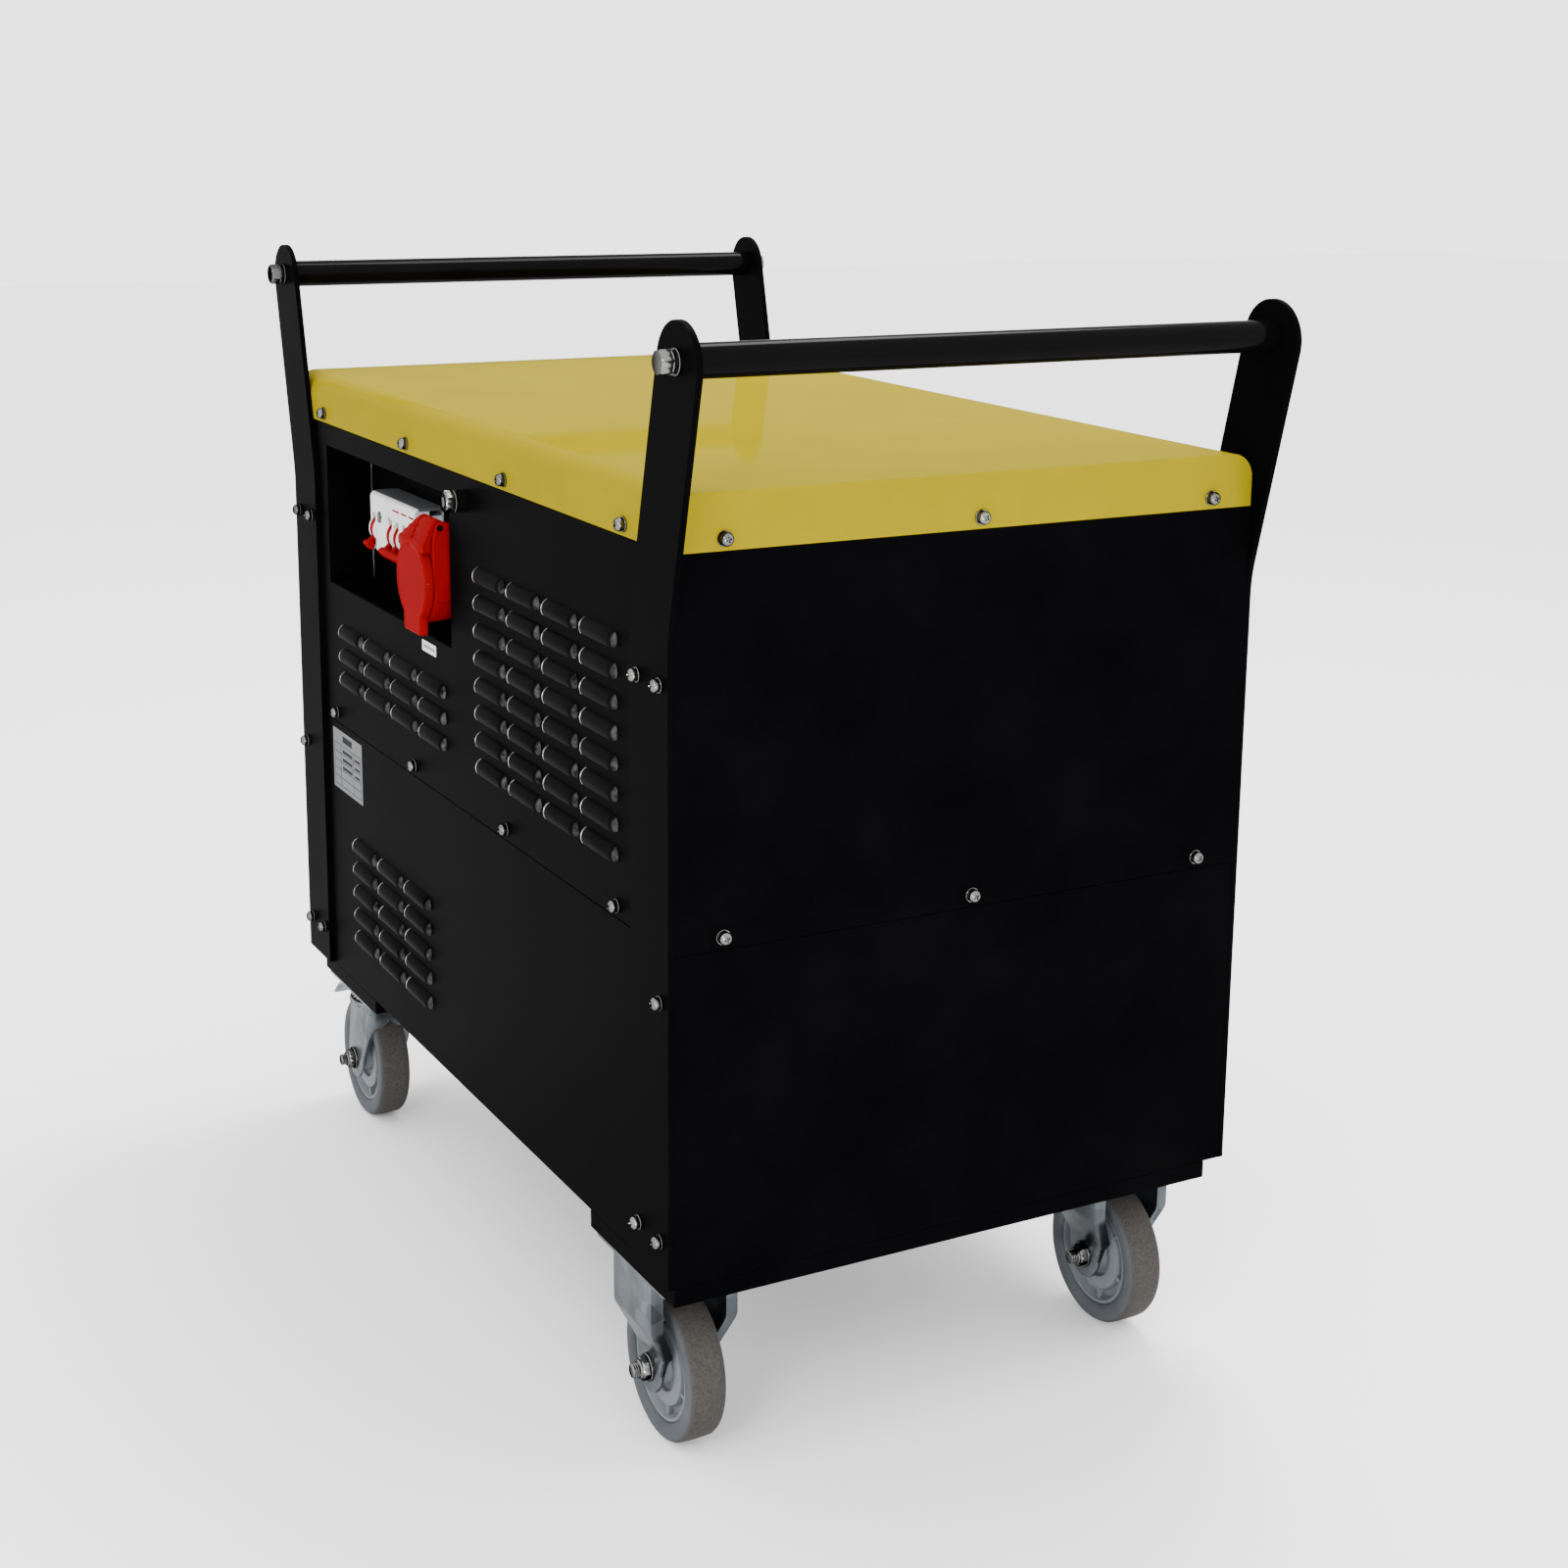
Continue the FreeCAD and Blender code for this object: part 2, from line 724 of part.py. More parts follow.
def louvre_banks():
    """Each bank's first place along Y, the level of its top row, and as many columns and rows as fit."""
    room = (size_of("case_height") - size_of("lid_depth") - size_of("lower_height")
            - size_of("bank_margin"))
    before_recess = size_of("body_length") - size_of("recess_from_rear") - size_of("recess_length")
    front = (f"front_bank_first - {END}", f"{SKIRT} - front_bank_top",
             count_in(before_recess - size_of("front_bank_first") - size_of("front_bank_gap"),
                      "louvre_pitch"),
             count_in(room - size_of("front_bank_top"), "louvre_step"))
    middle = (f"{RECESS_NEAR} + middle_bank_first", f"{RECESS_LOW} - middle_bank_gap",
              count_in(size_of("recess_length") - size_of("middle_bank_first")
                       - size_of("middle_bank_last"), "louvre_pitch"),
              count_in(room - size_of("recess_drop") - size_of("recess_height")
                       - size_of("middle_bank_gap"), "louvre_step"))
    lower = (f"{END} - lower_bank_last - {LOWER_COLUMN_COUNT - 1} * louvre_pitch",
             f"{SEAM} - lower_bank_top", LOWER_COLUMN_COUNT,
             count_in(size_of("lower_height") - size_of("lower_bank_top") - size_of("bank_margin"),
                      "louvre_step"))
    return front, middle, lower


def louvred(name, wall, face, banks, forms):
    """A wall with banks of louvres, each bank a grid counted towards the rear and down."""
    hood_form, slot_form = forms
    sign = "-" if face == "left" else ""
    turn = 0 if face == "left" else 180
    hoods = []
    slots = []
    for bank_number, (first, top, columns, rows) in enumerate(banks, start=1):
        for column in range(columns):
            for row in range(rows):
                point = (f"{sign}{SIDE}", f"{first} + {column} * louvre_pitch",
                         f"{top} - {row} * louvre_step")
                copy_name = f"{name}_{bank_number}_{column}_{row}"
                hoods.append(copy_of(hood_form, copy_name + "_hood", point, turn))
                slots.append(copy_of(slot_form, copy_name + "_slot", point, turn))
    slotted = cut(name + "_slotted", wall, [group(name + "_slots", slots)])
    return fuse(name, [slotted] + hoods)


def side_panels(bores, forms):
    """Four side walls between the end walls, with the louvres that air the inside."""
    front_bank, middle_bank, lower_bank = louvre_banks()
    for face, sign in (("left", "-"), ("right", "")):
        outer, inner = f"{sign}{SIDE}", f"{sign}{INNER_SIDE}"
        span = (outer, inner) if face == "left" else (inner, outer)
        upper = box(f"{face}_upper_blank", span, both(INNER_END), UPPER_SPAN)
        lower = box(f"{face}_lower_blank", span, both(INNER_END), LOWER_SPAN)
        upper_tools = [bores]
        banks = [front_bank]
        if face == "left":
            upper_tools += [recess_opening("recess_cutout"), stud_hole()]
            banks.append(middle_bank)
        upper_wall = cut(f"{face}_upper_wall", upper, upper_tools)
        lower_wall = cut(f"{face}_lower_wall", lower, [bores])
        keep(louvred(f"{face}_upper_panel", upper_wall, face, banks, forms))
        keep(louvred(f"{face}_lower_panel", lower_wall, face, [lower_bank], forms))


def end_panels(bores, fitting_holes):
    """Four end walls over the full width, the rear upper one cut for its fittings."""
    for face, sign in (("front", "-"), ("rear", "")):
        outer, inner = f"{sign}{END}", f"{sign}{INNER_END}"
        span = (outer, inner) if face == "front" else (inner, outer)
        upper = box(f"{face}_upper_blank", both(SIDE), span, UPPER_SPAN)
        lower = box(f"{face}_lower_blank", both(SIDE), span, LOWER_SPAN)
        upper_tools = [bores] + (fitting_holes if face == "rear" else [])
        keep(cut(f"{face}_upper_panel", upper, upper_tools))
        keep(cut(f"{face}_lower_panel", lower, [bores]))


def recess_opening(name):
    return box(name, (f"-{SIDE} - panel_sheet", RECESS_BACK), (RECESS_NEAR, RECESS_FAR),
               (RECESS_LOW, RECESS_HIGH))


def recess_box():
    """The five-sided pocket behind the opening, with a window for the breaker's nose."""
    block = box("recess_block", (f"-{INNER_SIDE}", f"{RECESS_BACK} + recess_sheet"),
                (f"{RECESS_NEAR} - recess_sheet", f"{RECESS_FAR} + recess_sheet"),
                (f"{RECESS_LOW} - recess_sheet", f"{RECESS_HIGH} + recess_sheet"))
    modules = LEVER_POLES + LEAKAGE_MODULES
    window = box("recess_window", (f"{RECESS_BACK} - recess_sheet", f"{RECESS_BACK} + 2 * recess_sheet"),
                 (f"{NOSE_NEAR} - breaker_clearance",
                  f"{NOSE_NEAR} + {modules} * module_width + breaker_clearance"),
                 (f"{NOSE_LOW} - breaker_clearance", f"{NOSE_LOW} + nose_height + breaker_clearance"))
    keep(cut("recess_box", block, [recess_opening("recess_hollow"), window]))


PIVOT_X = f"({NOSE_FRONT} + toggle_pivot_depth)"
PIVOT_Z = f"({NOSE_LOW} + toggle_pivot_rise)"
BUTTON_Y = f"({NOSE_NEAR} + {LEVER_POLES + LEAKAGE_MODULES / 2} * module_width)"
BUTTON_Z = f"({NOSE_LOW} + button_rise)"
LEAKAGE_Y = f"({NOSE_NEAR} + {LEVER_POLES + LEAKAGE_MODULES - 0.5} * module_width)"
BREAKER_BACK = f"({RECESS_BACK} + recess_sheet + wall_clearance + breaker_depth)"


def pole_centre(pole):
    return f"({NOSE_NEAR} + {pole + 0.5} * module_width)"


def button_blank(name, grow, depth):
    """A round-ended bar along X, grown on every side."""
    front = f"{NOSE_FRONT} - button_proud"
    half = "(button_length - button_width) / 2"
    ends = []
    for side in ("-", "+"):
        start = (front, BUTTON_Y, f"{BUTTON_Z} {side} {half}")
        ends.append(cylinder(name + "_end", "x", start, f"button_width + 2 * {grow}", depth))
    middle = box(name + "_middle", (front, f"{front} + {depth}"),
                 around(BUTTON_Y, f"button_width + 2 * {grow}"),
                 (f"{BUTTON_Z} - {half}", f"{BUTTON_Z} + {half}"))
    return fuse(name, [middle] + ends)


def breaker_case():
    """Breaker and leakage unit in one row of modules: a nose through the wall and a deeper body."""
    modules = LEVER_POLES + LEAKAGE_MODULES
    width = (NOSE_NEAR, f"{NOSE_NEAR} + {modules} * module_width")
    body_front = f"({RECESS_BACK} + recess_sheet + wall_clearance)"
    middle = f"({NOSE_LOW} + nose_height / 2)"
    nose = box("breaker_nose", (NOSE_FRONT, body_front), width, (NOSE_LOW, f"{NOSE_LOW} + nose_height"))
    body = box("breaker_body", (body_front, BREAKER_BACK), width, around(middle, "breaker_height"))
    tools = []
    for pole in list(range(LEVER_POLES)) + [LEVER_POLES + LEAKAGE_MODULES - 1]:
        tools.append(box(f"toggle_slot_{pole}",
                         (f"{NOSE_FRONT} - {OVERSHOOT}", f"{PIVOT_X} + toggle_radius + toggle_room"),
                         around(pole_centre(pole), "toggle_slot"),
                         around(PIVOT_Z, "2 * toggle_slot_reach")))
    bore = "toggle_shaft + 2 * running_clearance"
    tools.append(cylinder("lever_bore", "y", (PIVOT_X, f"{pole_centre(0)} - toggle_slot", PIVOT_Z), bore,
                          f"{LEVER_POLES - 1} * module_width + 2 * toggle_slot"))
    tools.append(cylinder("leakage_bore", "y", (PIVOT_X, f"{LEAKAGE_Y} - toggle_slot", PIVOT_Z), bore,
                          "2 * toggle_slot"))
    tools.append(button_blank("button_hole", "button_clearance",
                              "(button_proud + button_depth + button_travel + button_room)"))
    keep(cut("breaker_case", fuse("breaker_blank", [nose, body]), tools))


def toggle(name, poles, tied):
    """Levers on one shaft about Y, modelled about the pivot and then tilted to rest."""
    first, last = pole_centre(poles[0]), pole_centre(poles[-1])
    shaft_end = "(toggle_slot - running_clearance)"
    pieces = [cylinder(name + "_shaft", "y", (0, f"{first} - {shaft_end}", 0), "toggle_shaft",
                       f"{last} - {first} + 2 * {shaft_end}")]
    for pole in poles:
        centre = pole_centre(pole)
        pieces.append(cylinder(f"{name}_disc_{pole}", "y", (0, f"{centre} - toggle_width / 2", 0),
                               "2 * toggle_radius", "toggle_width"))
        pieces.append(box(f"{name}_lever_{pole}", ("-toggle_length", 0), around(centre, "toggle_width"),
                          both("toggle_lever / 2")))
        pieces.append(cylinder(f"{name}_tip_{pole}", "y",
                               ("-toggle_length", f"{centre} - toggle_width / 2", 0),
                               "toggle_lever", "toggle_width"))
    if tied:
        start = f"{first} - toggle_width / 2 - tie_bar_overhang"
        pieces.append(cylinder(name + "_tie_bar", "y", ("-toggle_length", start, 0), "tie_bar",
                               f"{last} - {first} + toggle_width + 2 * tie_bar_overhang"))
    lever = keep(fuse(name, pieces))
    set_place(lever, (PIVOT_X, 0, PIVOT_Z), (0, 1, 0), -1)
    bind(lever, "Placement.Rotation.Angle", "-toggle_rest")


def din_rail():
    """Hat-section rail behind the breaker, on two feet against the recess's back wall."""
    modules = LEVER_POLES + LEAKAGE_MODULES
    middle = f"({NOSE_LOW} + nose_height / 2)"
    near = f"({NOSE_NEAR} - din_margin)"
    far = f"({NOSE_NEAR} + {modules} * module_width + din_margin)"
    wall = f"({RECESS_BACK} + recess_sheet)"
    lips = box("din_lips", (BREAKER_BACK, f"{BREAKER_BACK} + din_sheet"), (near, far),
               around(middle, "din_height"))
    base = box("din_base_block", (BREAKER_BACK, f"{BREAKER_BACK} + din_depth"), (near, far),
               around(middle, "din_base"))
    groove = box("din_groove",
                 (f"{BREAKER_BACK} - {OVERSHOOT}", f"{BREAKER_BACK} + din_depth - din_sheet"),
                 (f"{near} - {OVERSHOOT}", f"{far} + {OVERSHOOT}"),
                 around(middle, "din_base - 2 * din_sheet"))
    pieces = [cut("din_hat", fuse("din_blank", [lips, base]), [groove])]
    for name, start, step in (("near", near, "-"), ("far", far, "")):
        leg = (f"{start} - din_sheet", start) if step == "-" else (start, f"{start} + din_sheet")
        foot = (f"{start} - din_foot", start) if step == "-" else (start, f"{start} + din_foot")
        pieces.append(box(f"din_{name}_leg", (wall, f"{BREAKER_BACK} + din_depth"), leg,
                          around(middle, "din_height")))
        pieces.append(box(f"din_{name}_foot", (wall, f"{wall} + din_sheet"), foot,
                          around(middle, "din_height")))
    keep(fuse("din_rail", pieces))


HINGE_Z = f"({SOCKET_Z} + hinge_rise)"
LUG_HALF = "(lug_width / 2)"
EAR_NEAR = "(lug_width / 2 + hinge_gap)"
EAR_REACH = "(lug_width / 2 + hinge_gap + ear_thickness)"
CAVITY_BACK = f"({SOCKET_FRONT} + socket_bore_depth)"


def socket_housing():
    """Flanged barrel on the recess's back wall, hollow towards -X, with two hinge ears on top."""
    flange_front = f"({RECESS_BACK} - socket_flange_thickness)"
    flange = box("socket_flange_plate", (flange_front, RECESS_BACK), around(SOCKET_Y, "socket_flange"),
                 around(SOCKET_Z, "socket_flange"))
    barrel = document.addObject("Part::Cone", "socket_barrel")
    bind(barrel, "Radius1", "socket_mouth / 2")
    bind(barrel, "Radius2", "socket_root / 2")
    bind(barrel, "Height", f"{flange_front} - {SOCKET_FRONT}")
    along(barrel, "x", (SOCKET_FRONT, SOCKET_Y, SOCKET_Z))
    hollow = cylinder("socket_hollow", "x", (f"{SOCKET_FRONT} - {OVERSHOOT}", SOCKET_Y, SOCKET_Z),
                      "socket_bore",
                      f"{CAVITY_BACK} - {SOCKET_FRONT} + insert_thickness + {OVERSHOOT}")
    ears = []
    for side, span in (("near", (f"{SOCKET_Y} - {EAR_REACH}", f"{SOCKET_Y} - {EAR_NEAR}")),
                       ("far", (f"{SOCKET_Y} + {EAR_NEAR}", f"{SOCKET_Y} + {EAR_REACH}"))):
        ears.append(box(f"socket_{side}_ear", (SOCKET_FRONT, f"{SOCKET_FRONT} + hinge_barrel / 2"), span,
                        (f"{SOCKET_Z} + socket_root / 2 - ear_root", HINGE_Z)))
        ears.append(cylinder(f"socket_{side}_knuckle", "y", (SOCKET_FRONT, span[0], HINGE_Z),
                             "hinge_barrel", "ear_thickness"))
    bore_start = (SOCKET_FRONT, f"{SOCKET_Y} - {EAR_REACH} - {OVERSHOOT}", HINGE_Z)
    pin_bore = cylinder("socket_pin_bore", "y", bore_start, "hinge_pin + 2 * running_clearance",
                        f"2 * ({EAR_REACH} + {OVERSHOOT})")
    keep(cut("socket_housing", fuse("socket_blank", [flange, barrel] + ears), [hollow, pin_bore]))


def socket_insert():
    """The contact carrier at the bottom of the barrel, with a ring of round contacts."""
    carrier = cylinder("contact_carrier", "x", (CAVITY_BACK, SOCKET_Y, SOCKET_Z),
                       "socket_bore - 2 * press_clearance", "insert_thickness")
    contact_count = 5
    contacts = []
    for number in range(contact_count):
        angle = 90 + 360 * number / contact_count
        start = (f"{CAVITY_BACK} - contact_length",
                 f"{SOCKET_Y} + contact_circle / 2 * cos({angle})",
                 f"{SOCKET_Z} + contact_circle / 2 * sin({angle})")
        contacts.append(cylinder(f"contact_{number}", "x", start, "contact_diameter",
                                 "contact_length + insert_thickness / 2"))
    keep(fuse("socket_insert", [carrier] + contacts))


def socket_lid():
    """Oval spring lid hanging from the hinge in front of the barrel."""
    back = f"({SOCKET_FRONT} - hinge_gap)"
    front = f"({back} - lid_disc_thickness)"
    rise = "(lid_disc_height - lid_disc_width) / 2"
    pieces = []
    for side in ("-", "+"):
        pieces.append(cylinder("lid_disc_end", "x", (front, SOCKET_Y, f"{SOCKET_Z} {side} {rise}"),
                               "lid_disc_width", "lid_disc_thickness"))
    pieces.append(box("lid_disc_middle", (front, back), around(SOCKET_Y, "lid_disc_width"),
                      (f"{SOCKET_Z} - {rise}", f"{SOCKET_Z} + {rise}")))
    pieces.append(cylinder("lid_disc_boss", "x", (f"{front} - lid_boss_height", SOCKET_Y, SOCKET_Z),
                           "lid_boss", "lid_boss_height"))
    lug = (f"{SOCKET_Y} - {LUG_HALF}", f"{SOCKET_Y} + {LUG_HALF}")
    pieces.append(box("lid_lug", (front, back), lug, (SOCKET_Z, HINGE_Z)))
    pieces.append(cylinder("lid_knuckle", "y", (SOCKET_FRONT, lug[0], HINGE_Z), "hinge_barrel",
                           "lug_width"))
    bore = cylinder("lid_pin_bore", "y", (SOCKET_FRONT, f"{lug[0]} - {OVERSHOOT}", HINGE_Z),
                    "hinge_pin + 2 * running_clearance", f"lug_width + 2 * {OVERSHOOT}")
    keep(cut("socket_lid", fuse("socket_lid_blank", pieces), [bore]))
    keep(cylinder("socket_lid_pin", "y", (SOCKET_FRONT, f"{SOCKET_Y} - {EAR_REACH}", HINGE_Z),
                  "hinge_pin", f"2 * {EAR_REACH}"))


STUD_Y = f"({RECESS_NEAR} - stud_from_recess)"
STUD_Z = f"({SKIRT} - stud_drop)"


def stud_hole():
    return cylinder("stud_bore", "x", (f"-{SIDE} - {OVERSHOOT}", STUD_Y, STUD_Z),
                    "stud_diameter + 2 * screw_clearance", f"panel_sheet + 2 * {OVERSHOOT}")


def earth_stud():
    """Earthing stud through the left wall, clamped by a nut inside and a washer and nut outside."""
    rod = cylinder("stud_rod", "x", (f"-{SIDE} - stud_length", STUD_Y, STUD_Z), "stud_diameter",
                   "stud_length + panel_sheet + stud_inner_nut + stud_stub")
    washer = cylinder("stud_outer_washer", "x", (f"-{SIDE} - stud_washer_thickness", STUD_Y, STUD_Z),
                      "stud_washer", "stud_washer_thickness")
    nut = hexagon("stud_outer_nut", "x", (f"-{SIDE} - stud_washer_thickness - stud_nut", STUD_Y, STUD_Z),
                  "stud_flats", "stud_nut")
    inner = hexagon("stud_back_nut", "x", (f"-{INNER_SIDE}", STUD_Y, STUD_Z), "stud_flats",
                    "stud_inner_nut")
    keep(fuse("earth_stud", [rod, washer, nut, inner]))


def labels():
    """Two blank plates on the left walls."""
    plates = []
    places = {"rating": (f"{END} - rating_from_rear - rating_length", f"{SEAM} - rating_drop"),
              "small": (f"{RECESS_NEAR} + small_from_recess", f"{RECESS_LOW} - small_drop")}
    for name, (near, top) in places.items():
        plates.append(box(name + "_plate", (f"-{SIDE} - label_thickness", f"-{SIDE}"),
                          (near, f"{near} + {name}_length"), (f"{top} - {name}_height", top)))
    keep(group("labels", plates))


BEND_Z = f"({BASE} + bend_height)"
LEAN = "atan((post_width / 2 + bar_outreach) / (bar_height - crown_below_bar - bend_height))"


def post_form():
    """One flat-bar post for a front corner: upright, then leaning out to a round top.

    It is drawn in the plane of the side wall, from the end face (y = 0) inwards.
    """
    crown = f"({BASE} + bar_height - crown_below_bar)"
    mitre = f"(post_width / 2 * tan({LEAN} / 2))"
    lean_y = f"(post_width / 2 * cos({LEAN}))"
    lean_z = f"(post_width / 2 * sin({LEAN}))"
    points = [
        (0, BASE), ("post_width", BASE), ("post_width", f"{BEND_Z} + {mitre}"),
        (f"{lean_y} - bar_outreach", f"{crown} + {lean_z}"),
        (f"-{lean_y} - bar_outreach", f"{crown} - {lean_z}"),
        (0, f"{BEND_Z} - {mitre}")]
    body = profile_pad("post_blank", "YZ_Plane", points, "post_thickness", centred=False)
    bend = size_of("caster_height") + size_of("rail_height") + size_of("bend_height")
    near_bend = size_of("post_width") / 2
    nearly_one = 0.9

    def at_bend(edge):
        crosswise = abs(edge.tangentAt(edge.FirstParameter).x) > nearly_one
        return crosswise and abs(edge.CenterOfMass.z - bend) < near_bend
    round_edges(body, "post_bend", at_bend, "bend_radius")
    round_top = cylinder("post_round", "x", (0, "-bar_outreach", crown), "post_width", "post_thickness")
    eye = cylinder("post_eye", "x", (f"-{OVERSHOOT}", "-bar_outreach", f"{BASE} + bar_height"),
                   "bar_bolt + 2 * screw_clearance", f"post_thickness + 2 * {OVERSHOOT}")
    return cut("post_form", fuse("post_whole", [body, round_top]), [eye])


def posts(bores):
    """The four posts, each the same bar set or turned into its corner and drilled for its screws."""
    form = post_form()
    corners = {"front_left": (f"-{POST_FACE}", f"-{END}", 0), "front_right": (SIDE, f"-{END}", 0),
               "rear_left": (f"-{SIDE}", END, 180), "rear_right": (POST_FACE, END, 180)}
    for corner, (x, y, turn) in corners.items():
        blank = copy_of(form, corner + "_post_blank", (x, y, 0), turn)
        keep(cut(corner + "_post", blank, [bores]))


def handle_bars():
    """A plugged tube between each pair of posts, and the bolts that hold it."""
    level = f"({BASE} + bar_height)"
    bolts = []
    for end, sign in (("front", "-"), ("rear", "")):
        line = f"{sign}({END} + bar_outreach)"
        tube = cylinder(f"{end}_bar_tube", "x", (f"-{SIDE}", line, level), "bar_diameter", "body_width")
        hollow = cylinder(f"{end}_bar_hollow", "x", (f"bar_plug - {SIDE}", line, level),
                          "bar_diameter - 2 * bar_wall", "body_width - 2 * bar_plug")
        bore = cylinder(f"{end}_bar_bore", "x", (f"-{SIDE}", line, level),
                        "bar_bolt + 2 * press_clearance", "body_width")
        keep(cut(f"{end}_handle_bar", tube, [hollow, bore]))
        for side, turn, x in (("left", 180, f"-{POST_FACE}"), ("right", 0, POST_FACE)):
            bolts.append(copy_of(bar_bolt_form(f"{end}_{side}"), f"{end}_{side}_bar_bolt",
                                 (x, line, level), turn))
    keep(group("handle_bolts", bolts))


def bar_bolt_form(name):
    """Hexagon bolt pointing along +X from the post's face, with its spring and flat washers."""
    washer = cylinder(name + "_bolt_washer", "x", (0, 0, 0), "bar_washer", "bar_washer_thickness")
    spring = cylinder(name + "_bolt_spring", "x", ("bar_washer_thickness", 0, 0), "bar_spring_washer",
                      "bar_spring_thickness")
    neck = "bar_washer_thickness + bar_spring_thickness + bar_bolt_neck"
    shank = cylinder(name + "_bolt_shank", "x", ("-post_thickness - bar_bolt_reach", 0, 0), "bar_bolt",
                     f"post_thickness + bar_bolt_reach + {neck}")
    head = hexagon(name + "_bolt_head", "x", (neck, 0, 0), "bar_bolt_flats", "bar_bolt_head")
    return fuse(name + "_bolt_form", [washer, spring, shank, head])


def axle_form(name):
    """Axle bolt along X about the wheel's middle: head on the right, washer and nut on the left."""
    half = "(fork_gap / 2 + fork_sheet)"
    nut_start = f"-{half} - axle_washer_thickness - axle_nut"
    shank = cylinder(name + "_shank", "x", (f"{nut_start} - axle_stub", 0, 0), "axle_diameter",
                     f"2 * {half} + axle_washer_thickness + axle_nut + axle_stub")
    washer = cylinder(name + "_washer", "x", (f"-{half} - axle_washer_thickness", 0, 0), "axle_washer",
                      "axle_washer_thickness")
    nut = hexagon(name + "_nut", "x", (nut_start, 0, 0), "axle_flats", "axle_nut")
    head = hexagon(name + "_head", "x", (half, 0, 0), "axle_flats", "axle_head")
    return fuse(name, [shank, washer, nut, head])


def wheel_forms():
    """Hub and tyre as turned bodies about X."""
    rim, web, boss = "(rim_width / 2)", "(web_width / 2)", "(boss_width / 2)"
    bore = "(axle_diameter / 2 + running_clearance)"
    hub_edge = f"({AXLE} - tyre_depth)"
    step = f"({AXLE} - tyre_depth - rim_depth)"
    half_hub = [(boss, bore), (boss, "boss_diameter / 2"), (web, "boss_diameter / 2"),
                (web, f"{step} - rim_draft"), (rim, step), (rim, hub_edge)]
    mirrored = [(f"-({x})", radius) for x, radius in reversed(half_hub)]
    hub = turned("hub_form", half_hub + mirrored)
    seat = f"({hub_edge} + press_clearance)"
    side = "(wheel_width / 2)"
    half_tyre = [(rim, seat), (side, f"{seat} + tyre_shoulder"), (side, f"{AXLE} - tyre_shoulder"),
                 (f"{side} - tyre_shoulder", AXLE)]
    mirrored = [(f"-({x})", radius) for x, radius in reversed(half_tyre)]
    tyre = turned("tyre_form", half_tyre + mirrored)
    radius = (size_of("caster_height") - size_of("wheel_headroom")) / 2
    least = radius - 1.2 * size_of("tyre_shoulder")

    def on_tread(edge):
        return hasattr(edge.Curve, "Radius") and edge.Curve.Radius > least
    round_edges(tyre, "tyre_round", on_tread, "tyre_rounding")
    return hub, tyre


def leg_outline(name, corners):
    """A fork's side view as a thick block, with the round foot about the axle."""
    return profile_pad(name, "YZ_Plane", corners, "2 * crown_width")


def rigid_fork_form(holes_at):
    """Pressed fork about the wheel's middle: wide crown under the plate, drawn in to two legs."""
    crown, leg = "(crown_width / 2)", "(fork_gap / 2 + fork_sheet)"
    crown_low = "(caster_height - crown_drop)"
    leg_high = "(caster_height - shoulder_drop)"
    inset = f"(fork_sheet * tan(atan(({crown} - {leg}) / ({crown_low} - {leg_high})) / 2))"
    foot = f"({AXLE} - fork_leg_width / 2)"
    right_outer = [(crown, "caster_height"), (crown, crown_low), (leg, leg_high), (leg, foot)]
    right_inner = [("(fork_gap / 2)", foot), ("(fork_gap / 2)", f"({leg_high} + {inset})"),
                   (f"({crown} - fork_sheet)", f"({crown_low} + {inset})"),
                   (f"({crown} - fork_sheet)", PLATE_LOW)]
    right = right_outer + right_inner
    left = [(f"-({x})", z) for x, z in reversed(right)]
    bent = profile_pad("rigid_strip", "XZ_Plane", right + left, "crown_length")
    wide, narrow = "(crown_length / 2)", "(fork_leg_width / 2)"
    side = [(wide, "caster_height"), (wide, crown_low), (narrow, leg_high), (narrow, AXLE)]
    mirrored = [(f"-({y})", z) for y, z in reversed(side)]
    flat = leg_outline("rigid_side", side + mirrored)
    round_foot = cylinder("rigid_foot", "x", ("-crown_width", 0, AXLE), "fork_leg_width",
                          "2 * crown_width")
    legs = common("rigid_legs", bent, fuse("rigid_side_whole", [flat, round_foot]))
    plate = box("rigid_plate", both("plate_width / 2"), both("plate_length / 2"),
                (PLATE_LOW, "caster_height"))
    axle_bore = cylinder("rigid_bore", "x", ("-crown_width", 0, AXLE),
                         "axle_diameter + 2 * running_clearance", "2 * crown_width")
    return cut("rigid_fork_form", fuse("rigid_fork_whole", [plate, legs]), [axle_bore] + holes_at)


def plate_holes(name):
    """Four bolt holes of one plate about its own middle."""
    holes = []
    for number, (x, y) in enumerate(bolt_points("0", "0"), start=1):
        holes.append(cylinder(f"{name}_hole_{number}", "z", (x, y, f"{PLATE_LOW} - {OVERSHOOT}"),
                              "bolt_diameter + 2 * bolt_clearance",
                              f"plate_thickness + 2 * {OVERSHOOT}"))
    return holes


FORK_TOP = f"({PLATE_LOW} - race_height - race_gap)"
PEDAL_Z = f"({FORK_TOP} - pedal_pivot_drop)"


